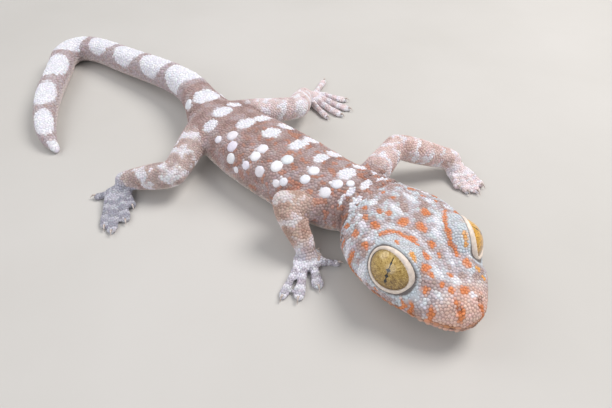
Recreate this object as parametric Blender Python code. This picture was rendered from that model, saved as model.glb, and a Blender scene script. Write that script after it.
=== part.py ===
"""Young tokay gecko, life size, lying on its belly with its head turned to its right.

Lengths are in millimetres until a mesh is made. +X runs from hip to neck, +Y to the
animal's left, +Z up, and the origin is on the floor under the middle of the trunk.
"""
import math

import bmesh
import bpy
from mathutils import Vector

MM = 0.001
GAP = 0.3
FLOOR = 0.0

SNOUT_TO_VENT = 65.0
HEAD_LENGTH = 0.33 * SNOUT_TO_VENT
HEAD_WIDTH = 0.272 * SNOUT_TO_VENT
TRUNK_WIDTH = 0.217 * SNOUT_TO_VENT
BACK_HEIGHT = 0.135 * SNOUT_TO_VENT
TAIL_THICKNESS = 0.088 * SNOUT_TO_VENT
EYE_RADIUS = 0.0508 * SNOUT_TO_VENT

HEAD_TURN = math.radians(-19.0)
SNOUT = Vector((39.4, -5.0, 0.0))
HEAD_FORWARD = Vector((math.cos(HEAD_TURN), math.sin(HEAD_TURN), 0.0))
HEAD_LEFT = Vector((-math.sin(HEAD_TURN), math.cos(HEAD_TURN), 0.0))
UP = Vector((0.0, 0.0, 1.0))

# Counts of rings, rows and sides, which set how fine the facets are.
HEAD_RINGS = 30
HEAD_ROWS_UP = 10
HEAD_ROWS_DOWN = 6
BODY_STEPS = 3
BODY_SIDES = 28
TAIL_SIDES = 18
LIMB_STEPS = 5
LIMB_SIDES = 12
DIGIT_SIDES = 8
CLAW_SIDES = 6
EYE_RINGS = 12
EYE_SIDES = 20
LID_STEPS = 28
LID_SIDES = 6

# The head. Rings stand closer together towards the snout.
RING_CROWDING = 1.6
SECTION_POWER_TOP = 2.2
SECTION_POWER_BELLY = 2.5

# Share of the head's length from the snout, then half width as a share of the head's
# width, then the heights of the crown, the widest level, the mouth line and the chin.
HEAD_PROFILE = (
    (0.000, 0.000, 4.1, 3.8, 3.50, 3.4),
    (0.016, 0.090, 5.3, 3.8, 3.45, 2.8),
    (0.070, 0.183, 6.5, 3.9, 3.40, 2.2),
    (0.145, 0.266, 7.4, 4.2, 3.35, 1.9),
    (0.255, 0.356, 8.2, 4.6, 3.30, 1.7),
    (0.365, 0.426, 8.8, 4.8, 3.25, 1.6),
    (0.475, 0.473, 9.4, 5.0, 3.25, 1.5),
    (0.580, 0.496, 9.9, 5.1, 3.30, 1.4),
    (0.680, 0.502, 10.1, 5.0, 3.55, 1.4),
    (0.800, 0.480, 10.1, 4.9, 4.10, 1.4),
    (0.900, 0.427, 9.8, 4.8, 4.60, 1.4),
    (1.000, 0.350, 9.4, 4.7, 4.70, 1.4),
)
MOUTH_END = 0.71
MOUTH_DEPTH = 0.45
MOUTH_LIP = 0.32
FURROW_START = 0.08
FURROW_END = 0.66
FURROW_DEPTH = 0.55
FURROW_HALF_WIDTH = 2.6

EYE_BACK = 10.1
EYE_OUT = 4.9
EYE_HEIGHT = 6.7
EYE_LOOK_FORWARD = math.radians(30.0)
EYE_LOOK_UP = math.radians(33.0)
BROW_THICKNESS = 0.55
LID_RADIUS_ABOVE = 0.42
LID_RADIUS_BELOW = 0.27
LID_HALF_LENGTH = 3.0
LID_HALF_HEIGHT = 2.35
LID_TILT = math.radians(-24.0)
OPENING_INNER_SHARE = 0.8
OPENING_INNER_DEPTH = 1.0
OPENING_REACH = 2.5

NOSTRIL_BACK = 1.5
NOSTRIL_OUT = 1.55
NOSTRIL_HEIGHT = 6.1
NOSTRIL_RADII = (0.4, 0.4, 0.35)
EAR_BACK = 18.6
EAR_OUT = 7.6
EAR_HEIGHT = 5.0
EAR_RADII = (1.2, 1.0, 0.6)

# Stations of the body from behind the head to the end of the tail: x, y, half width,
# top, widest level, underside.
NECK_STATION = (16.2, 1.6, 5.8, 9.1, 4.4, 0.8)
TRUNK_STATIONS = (
    (12.8, 1.0, 0.424 * TRUNK_WIDTH, 8.9, 4.0, 0.0),
    (8.0, 0.7, 0.470 * TRUNK_WIDTH, BACK_HEIGHT, 3.8, -0.4),
    (2.0, 0.6, 0.495 * TRUNK_WIDTH, BACK_HEIGHT, 3.7, -0.4),
    (-5.0, 0.6, 0.500 * TRUNK_WIDTH, 8.5, 3.6, -0.4),
    (-11.0, 0.7, 0.465 * TRUNK_WIDTH, 8.1, 3.5, -0.4),
    (-16.0, 0.9, 0.400 * TRUNK_WIDTH, 7.7, 3.5, -0.2),
    (-20.0, 1.5, 0.325 * TRUNK_WIDTH, 7.3, 3.7, 0.3),
)
# Points of the tail's axis and its radius as a share of its thickness.
TAIL_STATIONS = (
    (-24.2, 2.7, 4.2, 0.60),
    (-29.3, 4.1, 4.6, 0.53),
    (-35.8, 4.7, 4.3, 0.50),
    (-43.6, 4.0, 3.9, 0.49),
    (-52.8, 2.7, 3.4, 0.48),
    (-61.0, 1.6, 3.0, 0.465),
    (-65.8, -0.9, 2.75, 0.455),
    (-65.1, -4.9, 2.65, 0.45),
    (-60.2, -8.8, 2.55, 0.44),
    (-50.7, -16.1, 2.3, 0.41),
    (-43.0, -20.4, 1.9, 0.34),
    (-38.4, -22.0, 1.4, 0.25),
    (-35.0, -22.3, 0.8, 0.11),
)
TAIL_TIP_REACH = 0.5
NECK_TURN_ROWS = 7
# Rows of the body that each node takes, counted back from the head.
BODY_CUTS = {
    "neck": 4,
    "torso": 22,
    "tail_base": 10,
    "tail_middle": 6,
    "tail_bend": 9,
    "tail_lower": 6,
    "tail_tip": 6,
}
LIMB_ROOT_ROWS = 30

# Shoulder or hip inside the trunk, elbow or knee, wrist or ankle, middle of the palm,
# then each digit's tip and the width of its pad.
LIMBS = {
    "front_right": {
        "nodes": ("upper_arm", "forearm", "hand"),
        "joints": ((14.2, -1.6, 4.2), (9.3, -7.6, 6.6), (14.7, -8.8, 2.3), (16.0, -9.5, 1.0)),
        "radii": (2.0, 1.8, 1.5),
        "digits": (
            ((19.9, -5.9), 1.4),
            ((20.9, -12.2), 2.3),
            ((20.1, -15.8), 2.2),
            ((18.2, -17.2), 1.8),
            ((15.3, -6.1), 1.5),
        ),
    },
    "front_left": {
        "nodes": ("upper_arm", "forearm", "hand"),
        "joints": ((14.0, 4.0, 4.6), (12.2, 15.0, 6.4), (18.4, 23.1, 2.5), (20.5, 22.8, 1.0)),
        "radii": (2.1, 1.9, 1.65),
        "digits": (
            ((23.0, 19.6), 1.8),
            ((24.7, 19.7), 2.0),
            ((25.9, 20.9), 2.1),
            ((25.6, 23.0), 1.9),
            ((18.6, 26.8), 1.6),
        ),
    },
    "hind_right": {
        "nodes": ("thigh", "shank", "foot"),
        "joints": ((-18.4, -1.0, 4.2), (-10.2, -13.6, 4.2), (-17.2, -18.9, 2.0), (-16.4, -20.8, 1.0)),
        "radii": (2.4, 2.0, 1.5),
        "digits": (
            ((-11.6, -21.0), 1.8),
            ((-9.4, -23.7), 2.2),
            ((-8.9, -26.6), 2.3),
            ((-10.6, -26.8), 2.1),
            ((-19.4, -24.4), 1.8),
        ),
    },
    "hind_left": {
        "nodes": ("thigh", "shank", "foot"),
        "joints": ((-18.0, 3.0, 4.2), (-10.0, 14.2, 4.4), (-15.4, 21.4, 2.0), (-14.7, 23.3, 1.0)),
        "radii": (2.4, 2.0, 1.5),
        "digits": (
            ((-7.0, 20.2), 1.9),
            ((-5.6, 23.0), 2.2),
            ((-6.0, 25.9), 2.3),
            ((-9.0, 28.4), 2.2),
            ((-18.9, 31.6), 1.9),
        ),
    },
}
CAP_ANGLES = (math.radians(25.0), math.radians(58.0))
# How far the muscle of a limb's length swells, and how close to its root.
MUSCLE_SWELL = 0.36
MUSCLE_SKEW = 0.7
PALM_HALF_LENGTH = 1.8
PALM_HALF_WIDTH = 2.3
PALM_HEIGHT = 1.9
PALM_END_RADIUS = 1.0
WRIST_FLARE = 1.2
DIGIT_HEIGHT = 1.15
DIGIT_CROWN = 1.15
# The first four digits leave the palm side by side, and the fifth points back.
LEADING_DIGITS = 4
DIGIT_ROOT_AHEAD = 0.6
DIGIT_ROOT_PITCH = 1.1
# Share of a digit's length, its width as a share of the pad and its height.
DIGIT_PROFILE = (
    (0.00, 0.64, 1.40),
    (0.25, 0.57, 1.35),
    (0.45, 0.58, 1.12),
    (0.62, 0.82, 0.94),
    (0.78, 1.00, 0.84),
    (0.91, 0.86, 0.74),
    (1.00, 0.42, 0.62),
)
CLAW_LENGTH = 1.1
CLAW_PROUD = 0.6
CLAW_THICKNESS = 0.55
CLAW_TIP_HEIGHT = 0.28
# Share of a claw's length, the height of its axis and its thickness.
CLAW_PROFILE = ((-0.1, 0.50, 1.1), (0.3, 0.70, 1.0), (0.65, 0.60, 0.95))

TORSO_SKIN = (0.30, 0.22, 0.20)
HEAD_SKIN = (0.42, 0.40, 0.45)
LIMB_SKIN = (0.46, 0.36, 0.34)
TAIL_SKIN = (0.50, 0.42, 0.42)
IRIS = (0.38, 0.27, 0.07)
SKIN_ROUGHNESS = 0.6
EYE_ROUGHNESS = 0.15


def material(name, colour, roughness):
    """Make a plain material of the part's colour and roughness."""
    found = bpy.data.materials.new(name)
    found.use_nodes = True
    shader = found.node_tree.nodes["Principled BSDF"]
    shader.inputs["Base Color"].default_value = (*colour, 1.0)
    shader.inputs["Roughness"].default_value = roughness
    shader.inputs["Metallic"].default_value = 0.0
    return found


def mesh_object(name, points, faces):
    """Make a linked object from points in millimetres, with its faces turned out."""
    mesh = bpy.data.meshes.new(name)
    mesh.from_pydata([tuple(MM * value for value in point) for point in points], [], faces)
    bm = bmesh.new()
    bm.from_mesh(mesh)
    bmesh.ops.recalc_face_normals(bm, faces=bm.faces)
    bm.to_mesh(mesh)
    bm.free()
    obj = bpy.data.objects.new(name, mesh)
    bpy.context.scene.collection.objects.link(obj)
    return obj


def loft(name, rings, start_pole=None, end_pole=None):
    """Skin a row of rings with equal counts; each end closes at a pole or with a flat cap."""
    sides = len(rings[0])
    points = [point for ring in rings for point in ring]
    faces = []
    for index in range(len(rings) - 1):
        low = index * sides
        high = low + sides
        for side in range(sides):
            after = (side + 1) % sides
            faces.append((low + side, low + after, high + after, high + side))
    for pole, first in ((start_pole, 0), (end_pole, (len(rings) - 1) * sides)):
        if pole is None:
            faces.append(tuple(range(first, first + sides)))
            continue
        points.append(pole)
        tip = len(points) - 1
        faces.extend((first + side, first + (side + 1) % sides, tip) for side in range(sides))
    return mesh_object(name, points, faces)


def circle(centre, first, second, radius, sides):
    """Points of a circle in the plane of two unit directions."""
    ring = []
    for side in range(sides):
        angle = 2.0 * math.pi * side / sides
        ring.append(centre + first * radius * math.cos(angle) + second * radius * math.sin(angle))
    return ring


def evaluate(obj):
    """Write an object's modifiers into its own mesh."""
    graph = bpy.context.evaluated_depsgraph_get()
    baked = bpy.data.meshes.new_from_object(obj.evaluated_get(graph))
    obj.modifiers.clear()
    obj.data = baked


def keep_largest(obj):
    """Keep the closed surface with the most faces and drop every other scrap."""
    bm = bmesh.new()
    bm.from_mesh(obj.data)
    bmesh.ops.remove_doubles(bm, verts=bm.verts, dist=0.002 * MM)
    unseen = set(bm.faces)
    surfaces = []
    while unseen:
        surface = set()
        edge_of_search = [unseen.pop()]
        while edge_of_search:
            face = edge_of_search.pop()
            surface.add(face)
            for edge in face.edges:
                for other in edge.link_faces:
                    if other in unseen:
                        unseen.remove(other)
                        edge_of_search.append(other)
        surfaces.append(surface)
    surfaces.sort(key=len, reverse=True)
    scraps = [face for surface in surfaces[1:] for face in surface]
    bmesh.ops.delete(bm, geom=scraps, context="FACES")
    loose = [vert for vert in bm.verts if not vert.link_faces]
    bmesh.ops.delete(bm, geom=loose, context="VERTS")
    bm.to_mesh(obj.data)
    bm.free()


def join_pieces(obj, pieces):
    """Fuse closed pieces into one object with a single union, then remove them."""
    group = bpy.data.collections.new(obj.name + "_pieces")
    bpy.context.scene.collection.children.link(group)
    for piece in pieces:
        bpy.context.scene.collection.objects.unlink(piece)
        group.objects.link(piece)
    union = obj.modifiers.new("union", "BOOLEAN")
    union.operation = "UNION"
    union.operand_type = "COLLECTION"
    union.collection = group
    evaluate(obj)
    for piece in pieces:
        bpy.data.objects.remove(piece)
    bpy.data.collections.remove(group)
    keep_largest(obj)


def cut_away(obj, cutter, keep_cutter=False):
    """Subtract one closed object from another."""
    cut = obj.modifiers.new("cut", "BOOLEAN")
    cut.operation = "DIFFERENCE"
    cut.object = cutter
    evaluate(obj)
    if not keep_cutter:
        bpy.data.objects.remove(cutter)
    keep_largest(obj)


def slice_off(obj, place, direction):
    """Remove what lies beyond a plane, half a gap short of it, and close the cut."""
    bm = bmesh.new()
    bm.from_mesh(obj.data)
    normal = direction.normalized()
    everything = bm.verts[:] + bm.edges[:] + bm.faces[:]
    bmesh.ops.bisect_plane(
        bm,
        geom=everything,
        dist=0.0005 * MM,
        plane_co=(place - normal * 0.5 * GAP) * MM,
        plane_no=normal,
        clear_outer=True,
    )
    border = [edge for edge in bm.edges if len(edge.link_faces) == 1]
    bmesh.ops.holes_fill(bm, edges=border, sides=0)
    bmesh.ops.recalc_face_normals(bm, faces=bm.faces)
    bm.to_mesh(obj.data)
    bm.free()
    keep_largest(obj)


def finish_node(obj, look):
    """Give a node its material and its shading."""
    obj.data.materials.clear()
    obj.data.materials.append(look)
    obj.data.shade_smooth()


def curve_through(stations, steps):
    """Sample a smooth curve through rows of numbers, with steps between each pair."""
    rows = []
    last = len(stations) - 1
    for index in range(last):
        before = stations[max(index - 1, 0)]
        start = stations[index]
        end = stations[index + 1]
        after = stations[min(index + 2, last)]
        for step in range(steps):
            t = step / steps
            rows.append(tuple(
                0.5 * (2 * b + (c - a) * t + (2 * a - 5 * b + 4 * c - d) * t ** 2
                       + (3 * b - 3 * c + d - a) * t ** 3)
                for a, b, c, d in zip(before, start, end, after)
            ))
    rows.append(tuple(float(value) for value in stations[-1]))
    return rows


def profile_at(stations, place):
    """Read the other columns of a table at a value of its first column, smoothly."""
    last = len(stations) - 1
    index = 0
    while index < last - 1 and stations[index + 1][0] < place:
        index += 1
    low, high = stations[index], stations[index + 1]
    before = stations[max(index - 1, 0)]
    after = stations[min(index + 2, last)]
    span = high[0] - low[0]
    t = (place - low[0]) / span
    values = []
    for column in range(1, len(low)):
        slope_low = (high[column] - before[column]) / (high[0] - before[0])
        slope_high = (after[column] - low[column]) / (after[0] - low[0])
        values.append(
            (2 * t ** 3 - 3 * t ** 2 + 1) * low[column]
            + (t ** 3 - 2 * t ** 2 + t) * span * slope_low
            + (3 * t ** 2 - 2 * t ** 3) * high[column]
            + (t ** 3 - t ** 2) * span * slope_high
        )
    return values


def section_point(angle, half_width, top, level, under):
    """Point of a body section: sideways offset and height for an angle round it."""
    power = SECTION_POWER_TOP if math.sin(angle) >= 0.0 else SECTION_POWER_BELLY
    reach = top - level if math.sin(angle) >= 0.0 else level - under
    side = math.copysign(abs(math.cos(angle)) ** (2.0 / power), math.cos(angle))
    rise = math.copysign(abs(math.sin(angle)) ** (2.0 / power), math.sin(angle))
    return half_width * side, level + reach * rise


def body_rows():
    """Rows of the whole body from the back of the head to the tip of the tail."""
    behind_head = SNOUT - HEAD_FORWARD * (HEAD_LENGTH + 0.5 * GAP)
    inside_head = behind_head + HEAD_FORWARD * 0.14 * HEAD_LENGTH
    tail_rows = []
    for x, y, height, share in TAIL_STATIONS:
        radius = share * TAIL_THICKNESS
        tail_rows.append((x, y, radius, height + radius, height, height - radius))
    end_width, crown, level, _, chin = profile_at(HEAD_PROFILE, 1.0)
    rear = (end_width * HEAD_WIDTH, crown, level, chin)
    stations = [
        (inside_head.x, inside_head.y, *rear),
        (behind_head.x, behind_head.y, *rear),
        NECK_STATION,
        *TRUNK_STATIONS,
        *tail_rows,
    ]
    rows = curve_through(stations, BODY_STEPS)
    return rows[BODY_STEPS:]


def body_frames(rows):
    """Centre, direction to the left and row of each station, with the heading smoothed."""
    frames = []
    for index, row in enumerate(rows):
        ahead = Vector(rows[max(index - 1, 0)][:2])
        behind = Vector(rows[min(index + 1, len(rows) - 1)][:2])
        along = (ahead - behind).normalized()
        blend = min(index / NECK_TURN_ROWS, 1.0)
        forward = (HEAD_FORWARD.to_2d() * (1.0 - blend) + along * blend).normalized()
        frames.append((Vector((row[0], row[1], 0.0)), Vector((-forward.y, forward.x, 0.0)), row))
    return frames


def body_ring(frame, sides, grow=0.0):
    """One upright ring of the body, grown by an even margin and kept above the floor."""
    centre, left, row = frame
    half_width, top, level, under = row[2:]
    ring = []
    for side in range(sides):
        angle = 2.0 * math.pi * side / sides
        out, height = section_point(angle, half_width + grow, top + grow, level, under - grow)
        if grow == 0.0:
            height = max(height, FLOOR)
        ring.append(centre + left * out + UP * height)
    return ring


def body_length(frames, first, last, sides, name):
    """One length of the body between two stations, half a gap short at each end."""
    used = frames[first:last + 1]
    ends_in_tip = last == len(frames) - 1
    rings = [body_ring(frame, sides) for frame in used]
    for end, inner in ((0, 1), (-1, -2)):
        step = used[inner][0] - used[end][0]
        forward = Vector((-used[end][1].y, used[end][1].x, 0.0))
        if step.dot(forward) < 0.0:
            forward = -forward
        trim = 0.0 if end == -1 and ends_in_tip else 0.5 * GAP
        rings[end] = [point + forward * trim for point in rings[end]]
    tip = None
    if ends_in_tip:
        centre, left, row = used[-1]
        tip = centre + UP * row[4] + Vector((-left.y, left.x, 0.0)) * TAIL_TIP_REACH
    return loft(name, rings, end_pole=tip)


def head_point(back, out, height):
    """Point of the head from its distance behind the snout, to the left and up."""
    return SNOUT - HEAD_FORWARD * back + HEAD_LEFT * out + UP * height


def furrow(share, out):
    """Depth of the shallow valley that runs between the eyes and down the snout."""
    along = (share - FURROW_START) / (FURROW_END - FURROW_START)
    if not 0.0 < along < 1.0:
        return 0.0
    across = max(1.0 - (out / FURROW_HALF_WIDTH) ** 2, 0.0)
    return FURROW_DEPTH * math.sin(math.pi * along) * across


def head_ring(share):
    """One ring of the head, with rows set on the mouth line and on both lips."""
    half, crown, level, mouth, chin = profile_at(HEAD_PROFILE, share)
    half *= HEAD_WIDTH
    reach = max(level - chin, 0.05)
    drop = min(max((level - mouth) / reach, 0.02), 0.9)
    mouth_angle = -math.asin(drop ** (SECTION_POWER_BELLY / 2.0))
    lip = min(MOUTH_LIP / (reach + 0.4 * half + 0.1), 0.35)
    lip_above = min(mouth_angle + lip, -0.001)
    lip_below = max(mouth_angle - lip, -1.45)
    groove = MOUTH_DEPTH if share < MOUTH_END else 0.0
    groove *= min(1.0, half / 3.0)
    angles = [0.5 * math.pi + (lip_above - 0.5 * math.pi) * row / HEAD_ROWS_UP
              for row in range(HEAD_ROWS_UP + 1)]
    angles.append(mouth_angle)
    angles.extend(lip_below + (-0.5 * math.pi - lip_below) * row / HEAD_ROWS_DOWN
                  for row in range(HEAD_ROWS_DOWN + 1))
    left_half = []
    for row, angle in enumerate(angles):
        out, height = section_point(angle, half, crown, level, chin)
        if angle > 0.0:
            height -= furrow(share, out)
        if row == HEAD_ROWS_UP + 1:
            out -= groove
        left_half.append((out, height))
    back = share * HEAD_LENGTH
    ring = [head_point(back, out, height) for out, height in left_half]
    ring.extend(head_point(back, -out, height) for out, height in reversed(left_half[1:-1]))
    return ring


def eye_axes(side):
    """Centre of an eye and the directions it looks, runs along its lids and rises."""
    centre = head_point(EYE_BACK, side * EYE_OUT, EYE_HEIGHT)
    flat = HEAD_FORWARD * math.sin(EYE_LOOK_FORWARD) + HEAD_LEFT * side * math.cos(EYE_LOOK_FORWARD)
    look = flat * math.cos(EYE_LOOK_UP) + UP * math.sin(EYE_LOOK_UP)
    along = look.cross(UP).normalized() * -side
    rise = along.cross(look).normalized()
    if rise.z < 0.0:
        rise = -rise
    if along.dot(HEAD_FORWARD) < 0.0:
        along = -along
    tilted = along * math.cos(LID_TILT) + rise * math.sin(LID_TILT)
    across = rise * math.cos(LID_TILT) - along * math.sin(LID_TILT)
    return centre, look, tilted, across


def ellipsoid(name, centre, axes, radii, rings, sides):
    """Closed ellipsoid round a centre, from three unit directions and three radii."""
    pole_axis, first, second = axes
    rows = []
    for index in range(1, rings):
        angle = math.pi * index / rings
        middle = centre + pole_axis * radii[0] * math.cos(angle)
        wide = first * radii[1] * math.sin(angle)
        deep = second * radii[2] * math.sin(angle)
        rows.append(circle(middle, wide, deep, 1.0, sides))
    return loft(name, rows, centre + pole_axis * radii[0], centre - pole_axis * radii[0])


def lid_loop(centre, look, along, across, scale, reach):
    """Oval of the lids' opening, laid on a sphere about the eye."""
    loop = []
    for step in range(LID_STEPS):
        angle = 2.0 * math.pi * step / LID_STEPS
        offset = along * (LID_HALF_LENGTH * scale * math.cos(angle))
        offset += across * (LID_HALF_HEIGHT * scale * math.sin(angle))
        depth = math.sqrt(max(reach ** 2 - offset.length_squared, 0.04))
        loop.append(centre + offset + look * depth)
    return loop


def lid_rim(name, centre, look, along, across):
    """Raised rim of the lids, a closed tube round the eye's opening."""
    loop = lid_loop(centre, look, along, across, 1.0, EYE_RADIUS + 0.5 * LID_RADIUS_BELOW)
    points = []
    for place in loop:
        radial = (place - centre).normalized()
        outward = (place - centre - look * (place - centre).dot(look)).normalized()
        above = 0.5 + 0.5 * outward.dot(across)
        thick = LID_RADIUS_BELOW + (LID_RADIUS_ABOVE - LID_RADIUS_BELOW) * above
        points.extend(circle(place, outward, radial, thick, LID_SIDES))
    faces = []
    for step in range(LID_STEPS):
        low = step * LID_SIDES
        high = (step + 1) % LID_STEPS * LID_SIDES
        for side in range(LID_SIDES):
            after = (side + 1) % LID_SIDES
            faces.append((low + side, low + after, high + after, high + side))
    return mesh_object(name, points, faces)


def make_head(look_head, look_eye):
    """Head with lids, line of the mouth, nostrils and ears, and the two eyes in it."""
    shares = [(index / HEAD_RINGS) ** RING_CROWDING for index in range(1, HEAD_RINGS + 1)]
    rings = [head_ring(share) for share in shares]
    rings[-1] = [point + HEAD_FORWARD * 0.5 * GAP for point in rings[-1]]
    head = loft("head", rings, start_pole=head_point(0.0, 0.0, HEAD_PROFILE[0][3]))
    added = []
    cutters = []
    for side, word in ((-1.0, "right"), (1.0, "left")):
        centre, look, along, across = eye_axes(side)
        axes = (look, along, across)
        added.append(ellipsoid("brow_" + word, centre, axes, [EYE_RADIUS + BROW_THICKNESS] * 3,
                               EYE_RINGS, EYE_SIDES))
        added.append(lid_rim("lid_" + word, centre, look, along, across))
        opening = [
            lid_loop(centre, look, along, across, OPENING_INNER_SHARE, EYE_RADIUS - OPENING_INNER_DEPTH),
            lid_loop(centre, look, along, across, 1.0, EYE_RADIUS + OPENING_REACH),
        ]
        cutters.append(loft("opening_" + word, opening))
        cutters.append(ellipsoid("socket_" + word, centre, axes, [EYE_RADIUS + GAP] * 3,
                                 EYE_RINGS, EYE_SIDES))
        nostril = head_point(NOSTRIL_BACK, side * NOSTRIL_OUT, NOSTRIL_HEIGHT)
        cutters.append(ellipsoid("nostril_" + word, nostril, (HEAD_FORWARD, HEAD_LEFT, UP),
                                 NOSTRIL_RADII, 5, 8))
        ear = head_point(EAR_BACK, side * EAR_OUT, EAR_HEIGHT)
        cutters.append(ellipsoid("ear_" + word, ear, (UP, HEAD_LEFT, HEAD_FORWARD), EAR_RADII, 6, 10))
        eye = ellipsoid("eye_" + word, centre, axes, [EYE_RADIUS] * 3, EYE_RINGS, EYE_SIDES)
        finish_node(eye, look_eye)
    join_pieces(head, added)
    for cutter in cutters:
        cut_away(head, cutter)
    finish_node(head, look_head)


def limb_tube(name, start, end, start_radius, end_radius, swell):
    """Straight, swollen tube with round ends, for one length of a limb."""
    axis = (end - start).normalized()
    across = axis.cross(UP).normalized()
    rise = across.cross(axis).normalized()
    length = (end - start).length
    rows = []
    for angle in CAP_ANGLES:
        rows.append((-start_radius * math.cos(angle), start_radius * math.sin(angle)))
    for step in range(LIMB_STEPS + 1):
        t = step / LIMB_STEPS
        muscle = swell * math.sin(math.pi * t ** MUSCLE_SKEW)
        rows.append((length * t, start_radius + (end_radius - start_radius) * t + muscle))
    for angle in reversed(CAP_ANGLES):
        rows.append((length + end_radius * math.cos(angle), end_radius * math.sin(angle)))
    rings = [circle(start + axis * along, across, rise, radius, LIMB_SIDES) for along, radius in rows]
    return loft(name, rings, start - axis * start_radius, end + axis * end_radius)


def digit(name, root, tip, pad_width):
    """One digit: a slim root, a wide flat pad and a rounded end, lying on the floor."""
    flat = Vector((tip.x - root.x, tip.y - root.y, 0.0))
    length = flat.length - CLAW_PROUD * CLAW_LENGTH
    forward = flat.normalized()
    left = UP.cross(forward)
    rings = []
    for along, width, height in DIGIT_PROFILE:
        centre = root + forward * (length * along)
        half = 0.5 * pad_width * width
        top = DIGIT_HEIGHT * height
        ring = []
        for side in range(DIGIT_SIDES):
            angle = 2.0 * math.pi * side / DIGIT_SIDES
            rise = max(0.5 * top * (1.0 + DIGIT_CROWN * math.sin(angle)), FLOOR)
            ring.append(Vector((centre.x, centre.y, rise)) + left * half * math.cos(angle))
        rings.append(ring)
    return loft(name, rings)


def claw(name, root, tip):
    """Small curved claw that rises from the end of a pad and points ahead."""
    forward = Vector((tip.x - root.x, tip.y - root.y, 0.0)).normalized()
    left = UP.cross(forward)
    rings = []
    for along, height, thickness in CLAW_PROFILE:
        centre = tip - forward * (CLAW_LENGTH * (1.0 - along))
        centre = Vector((centre.x, centre.y, height))
        rings.append(circle(centre, left, UP, 0.5 * CLAW_THICKNESS * thickness, CLAW_SIDES))
    return loft(name, rings, end_pole=Vector((tip.x, tip.y, CLAW_TIP_HEIGHT)))


def palm_ways(ends, palm):
    """Ways ahead and across a palm, the second from its first digit towards its fourth."""
    ways = [(end - palm).normalized() for end in ends[:LEADING_DIGITS]]
    ahead = sum(ways, Vector()).normalized()
    across = UP.cross(ahead)
    if across.dot(ends[LEADING_DIGITS - 1] - ends[0]) < 0.0:
        across = -across
    return ahead, across


def make_foot(name, plan, wrist, lower_way, palm, thin):
    """Hand or foot: the stub of the wrist, the palm and five digits with their claws."""
    foot = limb_tube(name, wrist - lower_way, palm, WRIST_FLARE * thin, PALM_END_RADIUS, 0.0)
    floor_point = Vector((palm.x, palm.y, FLOOR))
    ends = [Vector((*tip, FLOOR)) for tip, _ in plan["digits"]]
    ahead, across = palm_ways(ends, floor_point)
    middle = Vector((palm.x, palm.y, 0.5 * PALM_HEIGHT))
    pieces = [ellipsoid(name + "_palm", middle, (UP, ahead, across),
                        (0.5 * PALM_HEIGHT, PALM_HALF_LENGTH, PALM_HALF_WIDTH), 8, 16)]
    for number, end in enumerate(ends):
        if number < LEADING_DIGITS:
            rank = number - 0.5 * (LEADING_DIGITS - 1)
            start = floor_point + ahead * DIGIT_ROOT_AHEAD + across * (DIGIT_ROOT_PITCH * rank)
        else:
            start = floor_point + (end - floor_point).normalized() * DIGIT_ROOT_AHEAD
        pad_width = plan["digits"][number][1]
        pieces.append(digit(f"{name}_digit_{number + 1}", start, end, pad_width))
        pieces.append(claw(f"{name}_claw_{number + 1}", start, end))
    join_pieces(foot, pieces)
    return foot


def make_limb(place, plan, trunk_cutter, look):
    """The three nodes of one limb: two lengths and a hand or foot with five digits."""
    root, bend, wrist, palm = (Vector(point) for point in plan["joints"])
    thick, middle, thin = plan["radii"]
    upper_name, lower_name, foot_name = (place + "_" + word for word in plan["nodes"])
    upper_way = (bend - root).normalized()
    lower_way = (wrist - bend).normalized()
    palm_way = (palm - wrist).normalized()
    bend_normal = (upper_way + lower_way).normalized()
    wrist_normal = (lower_way + palm_way).normalized()

    upper = limb_tube(upper_name, root, bend, thick, middle, MUSCLE_SWELL)
    slice_off(upper, bend, bend_normal)
    cut_away(upper, trunk_cutter, keep_cutter=True)
    lower = limb_tube(lower_name, bend, wrist, middle, thin, MUSCLE_SWELL)
    slice_off(lower, bend, -bend_normal)
    slice_off(lower, wrist, wrist_normal)
    foot = make_foot(foot_name, plan, wrist, lower_way, palm, thin)
    slice_off(foot, wrist, -wrist_normal)
    slice_off(foot, Vector((0.0, 0.0, FLOOR - 0.5 * GAP)), -UP)
    for node in (upper, lower, foot):
        finish_node(node, look)


def main():
    for obj in list(bpy.data.objects):
        bpy.data.objects.remove(obj)

    look_head = material("head_skin", HEAD_SKIN, SKIN_ROUGHNESS)
    look_body = material("body_skin", TORSO_SKIN, SKIN_ROUGHNESS)
    look_limb = material("limb_skin", LIMB_SKIN, SKIN_ROUGHNESS)
    look_tail = material("tail_skin", TAIL_SKIN, SKIN_ROUGHNESS)
    look_eye = material("iris", IRIS, EYE_ROUGHNESS)

    make_head(look_head, look_eye)
    frames = body_frames(body_rows())
    first = 0
    for name, steps in BODY_CUTS.items():
        tail = name.startswith("tail")
        last = first + steps
        node = body_length(frames, first, last, TAIL_SIDES if tail else BODY_SIDES, name)
        finish_node(node, look_tail if tail else look_body)
        first = last

    grown = [body_ring(frame, BODY_SIDES, GAP) for frame in frames[:LIMB_ROOT_ROWS]]
    trunk_cutter = loft("trunk_cutter", grown)
    for place, plan in LIMBS.items():
        make_limb(place, plan, trunk_cutter, look_limb)
    bpy.data.objects.remove(trunk_cutter)


main()
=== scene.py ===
"""Looks of a young tokay gecko: scaled skin, eyes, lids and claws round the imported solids.

Shapes are worked out in millimetres in the part's own frame, +X from hip to neck, +Y to
the animal's left and +Z up, and are scaled to metres when their meshes are made.
"""
import math
from functools import partial

import bpy
import numpy as np
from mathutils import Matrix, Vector, kdtree, noise


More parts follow.
